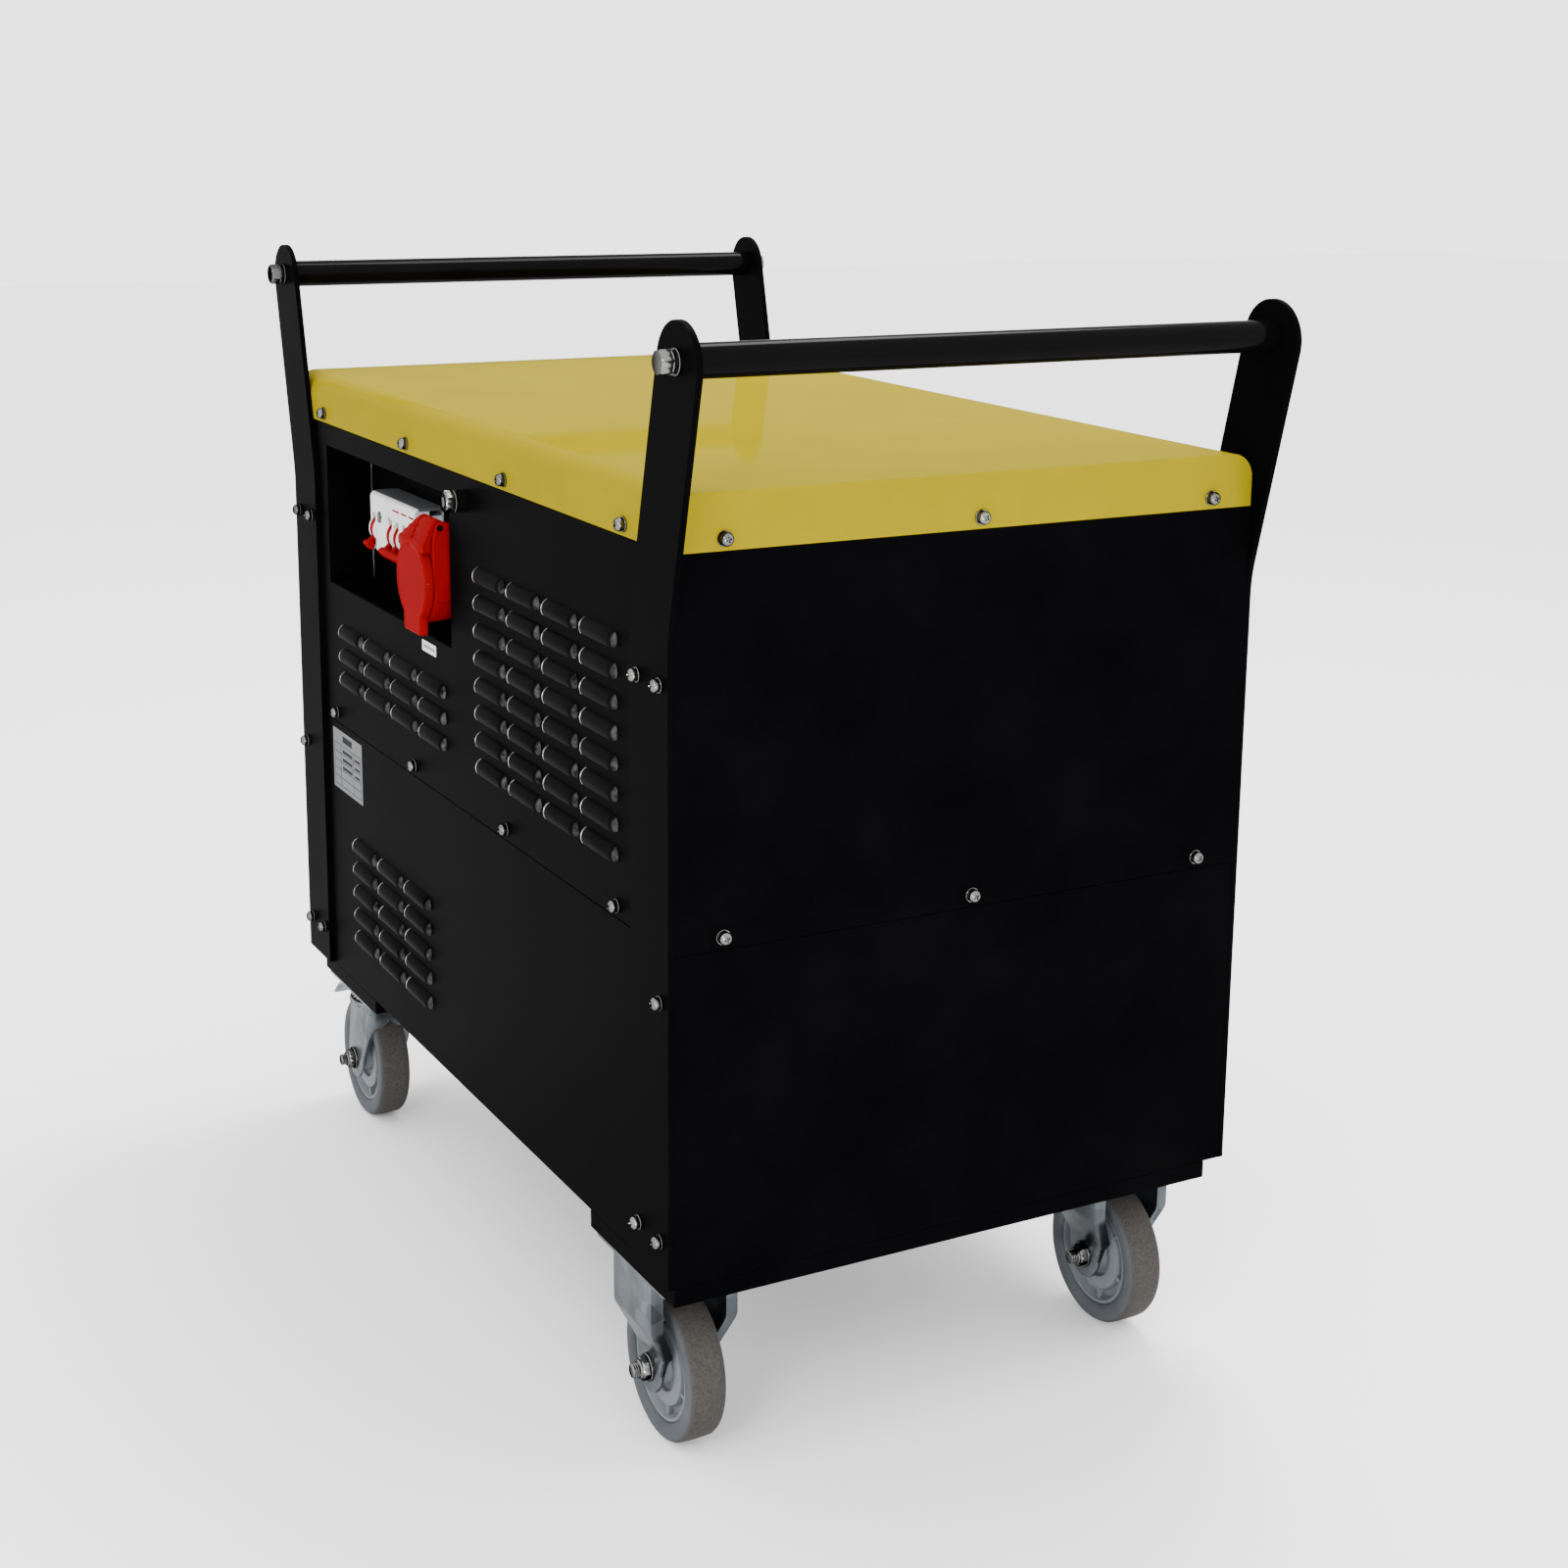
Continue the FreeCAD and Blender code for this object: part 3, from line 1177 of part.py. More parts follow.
def swivel_plate_form():
    """Top plate of a swivel caster with its race and king pin, about the swivel axis."""
    plate = box("swivel_plate_blank", both("plate_width / 2"), both("plate_length / 2"),
                (PLATE_LOW, "caster_height"))
    race = cylinder("swivel_race", "z", (0, 0, f"{PLATE_LOW} - race_height"), "race_diameter",
                    "race_height")
    head_top = f"({FORK_TOP} - fork_sheet - race_gap)"
    pin = cylinder("swivel_pin", "z", (0, 0, f"{head_top} - king_head_height"), "king_pin",
                   f"{PLATE_LOW} - {head_top} + king_head_height")
    head = cylinder("swivel_pin_head", "z", (0, 0, f"{head_top} - king_head_height"), "king_head",
                    "king_head_height")
    return cut("swivel_plate_form", fuse("swivel_plate_whole", [plate, race, pin, head]),
               plate_holes("swivel_plate"))


def swivel_fork_form():
    """Fork about the swivel axis: a race disc on top and two legs reaching back to the axle."""
    leg = "(fork_gap / 2 + fork_sheet)"
    foot = f"({AXLE} - fork_leg_width / 2)"
    right = [(leg, FORK_TOP), (leg, foot), ("(fork_gap / 2)", foot),
             ("(fork_gap / 2)", f"({FORK_TOP} - fork_sheet)")]
    left = [(f"-({x})", z) for x, z in reversed(right)]
    bent = profile_pad("swivel_strip", "XZ_Plane", right + left, "4 * fork_rear_reach")
    side = [("-fork_front_reach", FORK_TOP), ("fork_rear_reach", FORK_TOP),
            ("caster_trail + fork_leg_width / 2", AXLE), ("caster_trail - fork_leg_width / 2", AXLE)]
    flat = leg_outline("swivel_side", side)
    round_foot = cylinder("swivel_foot", "x", ("-crown_width", "caster_trail", AXLE), "fork_leg_width",
                          "2 * crown_width")
    legs = common("swivel_legs", bent, fuse("swivel_side_whole", [flat, round_foot]))
    disc = cylinder("swivel_disc", "z", (0, 0, f"{FORK_TOP} - fork_sheet"), "fork_disc", "fork_sheet")
    bore = cylinder("swivel_bore", "z", (0, 0, f"{FORK_TOP} - 2 * fork_sheet"),
                    "king_pin + 2 * running_clearance", "3 * fork_sheet")
    axle_bore = cylinder("swivel_axle_bore", "x", ("-crown_width", "caster_trail", AXLE),
                         "axle_diameter + 2 * running_clearance", "2 * crown_width")
    pedal_bore = cylinder("swivel_pedal_bore", "x", ("-crown_width", "pedal_pivot_back", PEDAL_Z),
                          "pedal_pin + 2 * running_clearance", "2 * crown_width")
    return cut("swivel_fork_form", fuse("swivel_fork_whole", [legs, disc]),
               [bore, axle_bore, pedal_bore])


def pedal_form():
    """Brake pedal about its own pivot pin: barrel, falling arm and an upturned tip."""
    half = "(pedal_sheet / 2)"
    points = [(0, f"-{half}"), ("pedal_length", f"-pedal_fall - {half}"),
              ("pedal_length + pedal_tip", f"-{half}"), ("pedal_length + pedal_tip", half),
              ("pedal_length", f"{half} - pedal_fall"), (0, half)]
    arm = profile_pad("pedal_arm", "YZ_Plane", points, "pedal_width")
    barrel = cylinder("pedal_barrel_bar", "x", ("-pedal_width / 2", 0, 0), "pedal_barrel", "pedal_width")
    pin = cylinder("pedal_pin_bar", "x", ("-fork_gap / 2 - fork_sheet", 0, 0), "pedal_pin",
                   "fork_gap + 2 * fork_sheet")
    rivets = []
    for side in (-1, 1):
        start = (f"{side} * pedal_rivet_pitch / 2", "pedal_rivet_reach",
                 "-pedal_fall * pedal_rivet_reach / pedal_length")
        rivets.append(cylinder("pedal_rivet_head", "z", start, "pedal_rivet",
                               f"{half} + pedal_rivet_height"))
    return fuse("pedal_form", [arm, barrel, pin] + rivets)


def casters():
    """Two rigid casters under the front and two braked swivel casters under the rear."""
    hub, tyre = wheel_forms()
    axle = axle_form("axle_form")
    rigid = rigid_fork_form(plate_holes("rigid_plate"))
    plate, fork, pedal = swivel_plate_form(), swivel_fork_form(), pedal_form()
    axles = []
    for corner, (x, y) in CASTERS.items():
        rear = corner.startswith("rear")
        wheel_y = REAR_WHEEL if rear else FRONT_WHEEL
        keep(group(corner + "_hub", [copy_of(hub, corner + "_hub_copy", (x, wheel_y, AXLE))]))
        keep(group(corner + "_tyre", [copy_of(tyre, corner + "_tyre_copy", (x, wheel_y, AXLE))]))
        axle_copy = copy_of(axle, corner + "_axle_copy", (x, wheel_y, AXLE))
        if rear:
            keep(group(corner + "_axle", [axle_copy]))
            keep(group(corner + "_swivel_plate", [copy_of(plate, corner + "_plate_copy", (x, y, 0))]))
            keep(group(corner + "_fork", [copy_of(fork, corner + "_fork_copy", (x, y, 0))]))
            point = (x, f"{y} + pedal_pivot_back", PEDAL_Z)
            keep(group(corner + "_brake_pedal", [copy_of(pedal, corner + "_pedal_copy", point)]))
        else:
            axles.append(axle_copy)
            keep(group(corner + "_fork", [copy_of(rigid, corner + "_fork_copy", (x, y, 0))]))
    keep(group("front_axles", axles))


BOARD_NEAR = f"({END} - board_from_rear - board_length)"


def transformer():
    """Laminated core standing on the tray, with a wound block through its window."""
    near = f"(core_from_front - {END})"
    middle = f"({near} + core_length / 2)"
    core = box("core_block", both("core_width / 2"), (near, f"{near} + core_length"),
               (FLOOR, f"{FLOOR} + core_height"))
    windows = [box(f"core_window_{number}", around(f"{side} * core_window_offset", "core_window"),
                   (f"{near} - {OVERSHOOT}", f"{near} + core_length + {OVERSHOOT}"),
                   around(f"({FLOOR} + core_height / 2)", "coil_height"))
               for number, side in enumerate((-1, 1))]
    coil = box("core_coil", both("core_window_offset + core_window / 2"), around(middle, "coil_length"),
               around(f"({FLOOR} + core_height / 2)", "coil_height"))
    keep(fuse("transformer", [cut("core_open", core, windows), coil]))


def inverter_heatsink():
    """Finned cooling block of the power stage, lying on the tray with its fins up."""
    near = f"({BOARD_NEAR} - sink_gap - sink_length)"
    along_y = (near, f"{near} + sink_length")
    pieces = [box("sink_plate", both("sink_width / 2"), along_y, (FLOOR, f"{FLOOR} + sink_base"))]
    fins = int((size_of("sink_width") - size_of("sink_fin")) // size_of("sink_pitch")) + 1
    for fin in range(fins):
        low = f"{fin} * sink_pitch - sink_width / 2"
        pieces.append(box(f"sink_fin_{fin}", (low, f"{low} + sink_fin"), along_y,
                          (FLOOR, f"{FLOOR} + sink_height")))
    keep(fuse("inverter_heatsink", pieces))


def control_board():
    """Circuit board on four standoffs, with its tallest parts."""
    sheet_low = f"({FLOOR} + board_rise)"
    pieces = [box("board_plate", both("board_width / 2"), (BOARD_NEAR, f"{BOARD_NEAR} + board_length"),
                  (sheet_low, f"{sheet_low} + board_sheet"))]
    for across in (-1, 1):
        for inset in ("board_margin", "board_length - board_margin"):
            start = (f"{across} * (board_width / 2 - board_margin)", f"{BOARD_NEAR} + {inset}", FLOOR)
            pieces.append(cylinder("board_standoff", "z", start, "standoff", "board_rise"))
        start = (f"{across} * capacitor_offset", f"{BOARD_NEAR} + board_length / 2", sheet_low)
        pieces.append(cylinder("board_capacitor", "z", start, "capacitor_diameter", "capacitor_height"))
    keep(fuse("control_board", pieces))


FAN_Y = f"(fan_from_front - {END})"
FAN_Z = f"({BASE} + fan_rise)"
FAN_LOW = f"({INNER_SIDE} - fan_depth)"


def fan():
    """Square cooling fan on the right lower wall: frame with spindle, and the bladed rotor."""
    block = box("fan_block", (FAN_LOW, INNER_SIDE), around(FAN_Y, "fan_size"), around(FAN_Z, "fan_size"))
    hole = cylinder("fan_hole", "x", (f"{FAN_LOW} - {OVERSHOOT}", FAN_Y, FAN_Z), "fan_bore",
                    f"fan_depth + 2 * {OVERSHOOT}")
    struts = []
    strut_x = (FAN_LOW, f"{FAN_LOW} + fan_motor_depth / 2")
    struts.append(box("fan_strut_level", strut_x, around(FAN_Y, "fan_size"), around(FAN_Z, "fan_strut")))
    struts.append(box("fan_strut_upright", strut_x, around(FAN_Y, "fan_strut"),
                      around(FAN_Z, "fan_size")))
    motor = cylinder("fan_motor_block", "x", (FAN_LOW, FAN_Y, FAN_Z), "fan_motor", "fan_motor_depth")
    rotor_low = f"({FAN_LOW} + fan_motor_depth + hinge_gap)"
    spindle = cylinder("fan_spindle_bar", "x", (FAN_LOW, FAN_Y, FAN_Z), "fan_spindle",
                       f"{rotor_low} - {FAN_LOW} + rotor_bore_depth - spindle_gap")
    keep(fuse("fan_frame", [cut("fan_ring", block, [hole]), motor, spindle] + struts))
    hub = cylinder("rotor_hub_bar", "x", (rotor_low, FAN_Y, FAN_Z), "rotor_hub", "rotor_depth")
    blades = []
    blade_count = 7
    blade_pitch = 35
    for number in range(blade_count):
        blade = document.addObject("Part::Box", f"rotor_blade_{number}")
        bind(blade, "Length", "rotor_chord")
        bind(blade, "Width", "rotor_blade")
        bind(blade, "Height", "rotor_tip / 2 - rotor_root")
        spoke = FreeCAD.Rotation(FreeCAD.Vector(1, 0, 0), 360 * number / blade_count)
        twist = FreeCAD.Rotation(FreeCAD.Vector(0, 0, 1), blade_pitch)
        blade.Placement = FreeCAD.Placement(FreeCAD.Vector(), spoke.multiply(twist))
        outward = spoke.multVec(FreeCAD.Vector(0, 0, 1))
        bind(blade, "Placement.Base.x", f"{rotor_low} + rotor_blade")
        bind(blade, "Placement.Base.y", f"{FAN_Y} + {outward.y:.6f} * rotor_root")
        bind(blade, "Placement.Base.z", f"{FAN_Z} + {outward.z:.6f} * rotor_root")
        blades.append(blade)
    bore = cylinder("rotor_bore", "x", (f"{rotor_low} - {OVERSHOOT}", FAN_Y, FAN_Z),
                    "fan_spindle + 2 * running_clearance", f"rotor_bore_depth + {OVERSHOOT}")
    keep(cut("fan_rotor", fuse("rotor_blank", [hub] + blades), [bore]))


KNOB_Z = f"({SEAM} + knob_rise)"
OUTPUT_Z = f"({SEAM} + torch_rise)"


def fitting_holes():
    """Openings of the rear upper wall for the knob's shaft and the two output fittings."""
    low, length = f"{INNER_END} - {OVERSHOOT}", f"panel_sheet + 2 * {OVERSHOOT}"
    return [cylinder("knob_hole", "y", (0, low, KNOB_Z), "knob_shaft + 2 * running_clearance", length),
            cylinder("torch_hole", "y", ("-torch_offset", low, OUTPUT_Z),
                     "torch_barrel + 2 * fitting_clearance", length),
            cylinder("work_hole", "y", ("torch_offset", low, OUTPUT_Z),
                     "work_barrel + 2 * fitting_clearance", length)]


def control_knob():
    """Current-setting knob on its shaft through the rear wall."""
    grip = cylinder("knob_grip", "y", (0, f"{END} + hinge_gap", KNOB_Z), "knob_diameter", "knob_height")
    shaft = cylinder("knob_shaft_bar", "y", (0, f"{INNER_END} - knob_shaft_reach", KNOB_Z), "knob_shaft",
                     "knob_shaft_reach + panel_sheet + hinge_gap + knob_height / 2")
    keep(fuse("control_knob", [grip, shaft]))


def torch_connector():
    """Torch outlet: a square flange on the rear wall with a bored barrel through it."""
    flange = box("torch_flange_plate", around("-torch_offset", "torch_flange"),
                 (END, f"{END} + torch_flange_thickness"), around(OUTPUT_Z, "torch_flange"))
    barrel = cylinder("torch_barrel_bar", "y", ("-torch_offset", f"{INNER_END} - torch_inner", OUTPUT_Z),
                      "torch_barrel", "torch_inner + panel_sheet + torch_reach")
    bore = cylinder("torch_bore_bar", "y", ("-torch_offset", END, OUTPUT_Z), "torch_bore",
                    f"torch_reach + {OVERSHOOT}")
    keep(cut("torch_connector", fuse("torch_blank", [flange, barrel]), [bore]))


def work_socket():
    """Outlet for the work clamp's lead: a round flange with a plug bore."""
    flange = cylinder("work_flange_disc", "y", ("torch_offset", END, OUTPUT_Z), "work_flange",
                      "work_flange_thickness")
    barrel = cylinder("work_barrel_bar", "y", ("torch_offset", f"{INNER_END} - work_inner", OUTPUT_Z),
                      "work_barrel", "work_inner + panel_sheet")
    bore = cylinder("work_bore_bar", "y",
                    ("torch_offset", f"{END} + work_flange_thickness - work_bore_depth", OUTPUT_Z),
                    "work_bore", f"work_bore_depth + {OVERSHOOT}")
    keep(cut("work_socket", fuse("work_blank", [flange, barrel]), [bore]))


def build():
    fill_sheet()
    bores = case_screws()
    bolt_holes = caster_bolts()
    base_tray()
    caster_rails(bolt_holes)
    inner_frame(bores)
    lid(bores)
    side_panels(bores, louvre_form())
    end_panels(bores, fitting_holes())
    recess_box()
    breaker_case()
    toggle("breaker_toggle", list(range(LEVER_POLES)), tied=True)
    toggle("leakage_toggle", [LEVER_POLES + LEAKAGE_MODULES - 1], tied=False)
    keep(button_blank("test_button", "0", "(button_proud + button_depth)"))
    din_rail()
    socket_housing()
    socket_insert()
    socket_lid()
    earth_stud()
    labels()
    posts(bores)
    handle_bars()
    casters()
    transformer()
    inverter_heatsink()
    control_board()
    fan()
    control_knob()
    torch_connector()
    work_socket()
    document.recompute()


def check():
    """Stop if any object failed or any sub-part has no sound shape."""
    for item in document.Objects:
        if "Invalid" in item.State or "Error" in item.State:
            raise RuntimeError(f"{item.Label} failed: {item.State}")
    for label, item in sub_parts.items():
        if item.Shape.isNull() or not item.Shape.isValid() or not item.Shape.Solids:
            raise RuntimeError(f"{label} has no valid solid")


def export():
    os.makedirs("parts", exist_ok=True)
    for label, item in sub_parts.items():
        item.Shape.exportStep(f"parts/{label}.step")
        print(f"{label}: {len(item.Shape.Solids)} solids, {item.Shape.Volume / 1000:.1f} cm3")


build()
check()
export()
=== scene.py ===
"""Looks of a plasma cutter unit: a black power cabinet with a yellow lid, on four casters."""
import json
import math

import bmesh
import bpy
from mathutils import Matrix, Vector


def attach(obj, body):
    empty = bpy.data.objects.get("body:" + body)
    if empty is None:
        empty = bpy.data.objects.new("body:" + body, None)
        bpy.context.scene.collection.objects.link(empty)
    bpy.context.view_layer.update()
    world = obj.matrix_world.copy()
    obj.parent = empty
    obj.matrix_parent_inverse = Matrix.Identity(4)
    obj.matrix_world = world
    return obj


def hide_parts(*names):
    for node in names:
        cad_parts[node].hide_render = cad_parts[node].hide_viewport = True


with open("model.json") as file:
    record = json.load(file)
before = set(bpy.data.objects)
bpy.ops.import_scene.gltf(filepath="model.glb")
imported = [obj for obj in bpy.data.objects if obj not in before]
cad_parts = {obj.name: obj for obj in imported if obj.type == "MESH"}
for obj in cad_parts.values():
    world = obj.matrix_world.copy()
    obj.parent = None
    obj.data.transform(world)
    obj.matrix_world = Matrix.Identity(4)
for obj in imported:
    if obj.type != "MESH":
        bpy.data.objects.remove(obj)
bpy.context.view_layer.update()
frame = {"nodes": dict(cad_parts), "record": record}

MM = 0.001


# Materials

def new_material(name):
    """An empty node material and its shader node."""
    material = bpy.data.materials.new(name)
    material.use_nodes = True
    shader = material.node_tree.nodes["Principled BSDF"]
    return material, shader


def set_inputs(node, **values):
    """Sets a node's inputs by name; spaces are written as underscores."""
    for name, value in values.items():
        node.inputs[name.replace("_", " ")].default_value = value


def add_node(material, kind, **inputs):
    """A new node of a material, with some of its inputs set."""
    node = material.node_tree.nodes.new(kind)
    set_inputs(node, **inputs)
    return node


def join(material, source, target):
    """Links one node's output to another's input."""
    material.node_tree.links.new(source, target)


def object_noise(material, scale, detail, roughness, stretch=(1, 1, 1)):
    """Noise on Object coordinates, stretched along the axes; its value runs from 0 to 1."""
    place = add_node(material, "ShaderNodeTexCoord")
    mapping = add_node(material, "ShaderNodeMapping", Scale=stretch)
    noise = add_node(material, "ShaderNodeTexNoise", Scale=scale, Detail=detail,
                     Roughness=roughness)
    join(material, place.outputs["Object"], mapping.inputs["Vector"])
    join(material, mapping.outputs["Vector"], noise.inputs["Vector"])
    return noise.outputs["Fac"]


def between(material, value, first, second, start=0.3, stop=0.7):
    """Runs from one colour to another while a value goes from start to stop."""
    ramp = add_node(material, "ShaderNodeValToRGB")
    for element, position, colour in zip(ramp.color_ramp.elements, (start, stop), (first, second)):
        element.position = position
        element.color = (*colour, 1)
    join(material, value, ramp.inputs["Fac"])
    return ramp.outputs["Color"]


def spread(material, value, low, high):
    """A value from 0 to 1 mapped onto a range."""
    span = add_node(material, "ShaderNodeMapRange", To_Min=low, To_Max=high)
    join(material, value, span.inputs["Value"])
    return span.outputs["Result"]


def add_bump(material, shader, value, strength, depth):
    """Raises a value as a fine grain; the depth is in millimetres."""
    bump = add_node(material, "ShaderNodeBump", Strength=strength, Distance=depth * MM)
    join(material, value, bump.inputs["Height"])
    join(material, bump.outputs["Normal"], shader.inputs["Normal"])


def blend(material, mark, plain, marked):
    """One colour where the surface has a mark and another where it has none."""
    where = add_node(material, "ShaderNodeAttribute")
    where.attribute_name = mark
    mixed = add_node(material, "ShaderNodeMix")
    mixed.data_type = "RGBA"
    first_colour, second_colour, mixed_colour = 6, 7, 2
    join(material, where.outputs["Fac"], mixed.inputs["Factor"])
    join(material, plain, mixed.inputs[first_colour])
    join(material, marked, mixed.inputs[second_colour])
    return mixed.outputs[mixed_colour]


def coated(name, dark, light, roughness, grain, depth, gloss=0.0, metallic=0.0, sheen=0.5,
           rim=1.0, polished=None):
    """A paint, plastic or plating: mottled colour, uneven roughness and a fine grain.

    The sheen is how strongly the bare surface reflects, the gloss is a clear coat on it, and the
    rim is how much a metal still reflects at a flat angle. The surface may be marked for a
    painted highlight, and takes the highlight colours there.
    """
    material, shader = new_material(name)
    broad = object_noise(material, 9, 5, 0.6)
    colour = between(material, broad, dark, light)
    # Painted highlight: where the surface is marked, its colour runs to the highlight colours.
    if polished:
        marked = between(material, object_noise(material, 160, 3, 0.6), *polished, 0.35, 0.65)
        colour = blend(material, "painted_highlight", colour, marked)
    join(material, colour, shader.inputs["Base Color"])
    join(material, spread(material, broad, *roughness), shader.inputs["Roughness"])
    add_bump(material, shader, object_noise(material, grain, 2, 0.5), 0.35, depth)
    set_inputs(shader, Metallic=metallic, Specular_IOR_Level=sheen,
               Specular_Tint=(rim, rim, rim, 1), Coat_Weight=gloss, Coat_Roughness=0.05)
    return material


def plated(name, dark, light, roughness, shaded, rim):
    """Zinc plating: patches of crystals, fine drawn streaks, and painted shade: darker colours on
    faces marked "shade".
    """
    material, shader = new_material(name)
    place = add_node(material, "ShaderNodeTexCoord")
    cells = add_node(material, "ShaderNodeTexVoronoi", Scale=90.0)
    join(material, place.outputs["Object"], cells.inputs["Vector"])
    cloud = object_noise(material, 22, 5, 0.6, (1, 1, 0.35))
    mixed = add_node(material, "ShaderNodeMix")
    mixed.inputs["Factor"].default_value = 0.25
    join(material, cloud, mixed.inputs["A"])
    join(material, cells.outputs["Color"], mixed.inputs["B"])
    bright = between(material, mixed.outputs["Result"], dark, light)
    # Painted shade: the faces marked "shade" take darker colours, as if in shadow.
    painted_shade_colour = between(material, mixed.outputs["Result"], shaded, dark)
    join(material, blend(material, "shade", bright, painted_shade_colour), shader.inputs["Base Color"])
    join(material, spread(material, cloud, *roughness), shader.inputs["Roughness"])
    streaks = object_noise(material, 140, 3, 0.6, (1, 1, 8))
    add_bump(material, shader, streaks, 0.25, 0.12)
    set_inputs(shader, Metallic=1.0, Specular_Tint=(rim, rim, rim, 1))
    return material


def rubber(name, side_colours, tread_colours):
    """Tyre rubber: cool side walls, and a warmer, speckled tread where it is marked "tread"."""
    material, shader = new_material(name)
    broad = object_noise(material, 30, 5, 0.65)
    grain = object_noise(material, 420, 4, 0.75)
    side = between(material, broad, *side_colours)
    tread = between(material, grain, *tread_colours, 0.36, 0.62)
    join(material, blend(material, "tread", side, tread), shader.inputs["Base Color"])
    join(material, spread(material, broad, 0.55, 0.75), shader.inputs["Roughness"])
    add_bump(material, shader, object_noise(material, 900, 3, 0.6), 0.4, 0.2)
    set_inputs(shader, Specular_IOR_Level=0.06)
    return material


def make_materials():
    """Every finish of the unit, by the name of its material slot."""
    return {
        "black_powder": coated(
            "black_powder_coat", (0.0007, 0.0007, 0.0009), (0.0014, 0.0014, 0.0016),
            (0.34, 0.48), 900, 0.12, sheen=0.002),
        # The hoods' coat has a painted highlight: near-white colours where their ends are marked.
        "black_pressed": coated(
            "black_pressed_coat", (0.0008, 0.0008, 0.001), (0.0034, 0.0034, 0.0037),
            (0.3, 0.45), 420, 0.5, sheen=0.003, polished=((0.05, 0.05, 0.05), (0.85, 0.85, 0.84))),
        "yellow_gloss": coated("yellow_enamel", (0.172, 0.132, 0.0001), (0.19, 0.147, 0.0002),
                               (0.2, 0.3), 260, 0.04, gloss=0.035, sheen=0.0),
        "bar_black": coated("bar_enamel", (0.0009, 0.0009, 0.001), (0.0018, 0.0018, 0.0019),
                            (0.16, 0.3), 420, 0.08, gloss=0.05, sheen=0.002),
        # Zinc, with a darker colour for the painted shade on marked faces.
        "zinc": plated("zinc_plate", (0.075, 0.087, 0.095), (0.185, 0.202, 0.215), (0.22, 0.4),
                       (0.012, 0.014, 0.016), 0.55),
        "bright_steel": coated("bright_steel", (0.06, 0.061, 0.061), (0.19, 0.188, 0.184),
                               (0.1, 0.26), 900, 0.04, metallic=1.0, rim=0.06),
        "frame_paint": coated("frame_primer", (0.004, 0.004, 0.004), (0.008, 0.008, 0.008),
                              (0.6, 0.8), 600, 0.1, sheen=0.02),
        "off_white": coated("breaker_shell", (0.44, 0.445, 0.44), (0.50, 0.505, 0.50),
                            (0.38, 0.5), 900, 0.04, sheen=0.1),
        "red_plastic": coated("socket_red", (0.13, 0.0006, 0.0016), (0.165, 0.0008, 0.0024),
                              (0.24, 0.36), 500, 0.04, gloss=0.01, sheen=0.001),
        "dark_plastic": coated("dark_plastic", (0.003, 0.003, 0.0032), (0.006, 0.006, 0.0065),
                               (0.45, 0.6), 900, 0.06, sheen=0.02),
        "grey_button": coated("button_grey", (0.055, 0.058, 0.062), (0.07, 0.074, 0.078),
                              (0.4, 0.5), 900, 0.03, sheen=0.05),
        "brass": coated("brass", (0.085, 0.05, 0.013), (0.15, 0.092, 0.026), (0.2, 0.36), 700,
                        0.05, metallic=1.0, rim=0.5),
        "label_silver": coated("label_foil", (0.075, 0.078, 0.084), (0.095, 0.098, 0.104),
                               (0.3, 0.42), 900, 0.02, sheen=0.02),
        "hub_grey": coated("hub_nylon", (0.085, 0.093, 0.103), (0.11, 0.119, 0.13), (0.35, 0.5),
                           700, 0.05, sheen=0.08),
        "tyre_grey": rubber("tyre_rubber", ((0.042, 0.046, 0.052), (0.058, 0.062, 0.068)),
                            ((0.023, 0.0214, 0.0196), (0.038, 0.0355, 0.0325))),
        "core_iron": coated("core_lamination", (0.02, 0.018, 0.016), (0.03, 0.028, 0.025),
                            (0.5, 0.7), 600, 0.1, metallic=0.6),
        "bare_aluminium": coated("bare_aluminium", (0.22, 0.225, 0.23), (0.28, 0.28, 0.285),
                                 (0.3, 0.45), 700, 0.04, metallic=1.0),
        "board_green": coated("board_mask", (0.003, 0.03, 0.010), (0.005, 0.04, 0.014),
                              (0.35, 0.45), 900, 0.03, sheen=0.05),
    }


materials = make_materials()
slot_of = {part["node"]: part["material_slot"] for part in frame["record"]["subparts"]}
body_of = {node: body for body, nodes in frame["record"]["behaviour"]["bodies"].items()
           for node in nodes}


# Pieces

def new_object(name, data):
    """An object in the scene's collection."""
    made = bpy.data.objects.new(name, data)
    bpy.context.scene.collection.objects.link(made)
    return made


def mesh_from(name, work):
    """Ends a mesh work and keeps what it holds as a mesh."""
    mesh = bpy.data.meshes.new(name)
    work.to_mesh(mesh)
    work.free()
    return mesh


def paint(mesh, coat):
    """Gives a mesh one finish in place of any others."""
    mesh.materials.clear()
    mesh.materials.append(materials[coat])


def add_piece(name, mesh, body, slot, coat):
    """A piece that rides on a body; its coat is its slot's unless another is named."""
    piece = new_object(name, mesh)
    paint(mesh, coat or slot)
    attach(piece, body)
    return piece


def smooth(mesh, angle):
    """Even shading, but for the edges that are sharper than an angle in degrees."""
    mesh.shade_smooth()
    mesh.set_sharp_from_angle(angle=math.radians(angle))


def soften(piece, width):
    """Rounded edges with even shading; the width is in millimetres."""
    bevel = piece.modifiers.new("edges", "BEVEL")
    bevel.width = width * MM
    bevel.segments = 2
    bevel.limit_method = "ANGLE"
    bevel.angle_limit = math.radians(30)
    bevel.use_clamp_overlap = True
    weighted = piece.modifiers.new("shading", "WEIGHTED_NORMAL")
    weighted.keep_sharp = True


def finish(name, work, node=None, slot=None, body=None, edge=0.0, angle=35, coat=None):
    """A piece from its mesh work: faces outwards, shaded, its edges rounded, in place of a node.

    It rides on the node's body and takes the finish of the node's slot, unless others are named.
    """
    bmesh.ops.recalc_face_normals(work, faces=work.faces)
    mesh = mesh_from(name, work)
    piece = add_piece(name, mesh, body or body_of[node], slot or slot_of[node], coat)
    smooth(mesh, angle)
    if edge:
        soften(piece, edge)
    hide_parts(*([node] if node else []))
    return piece


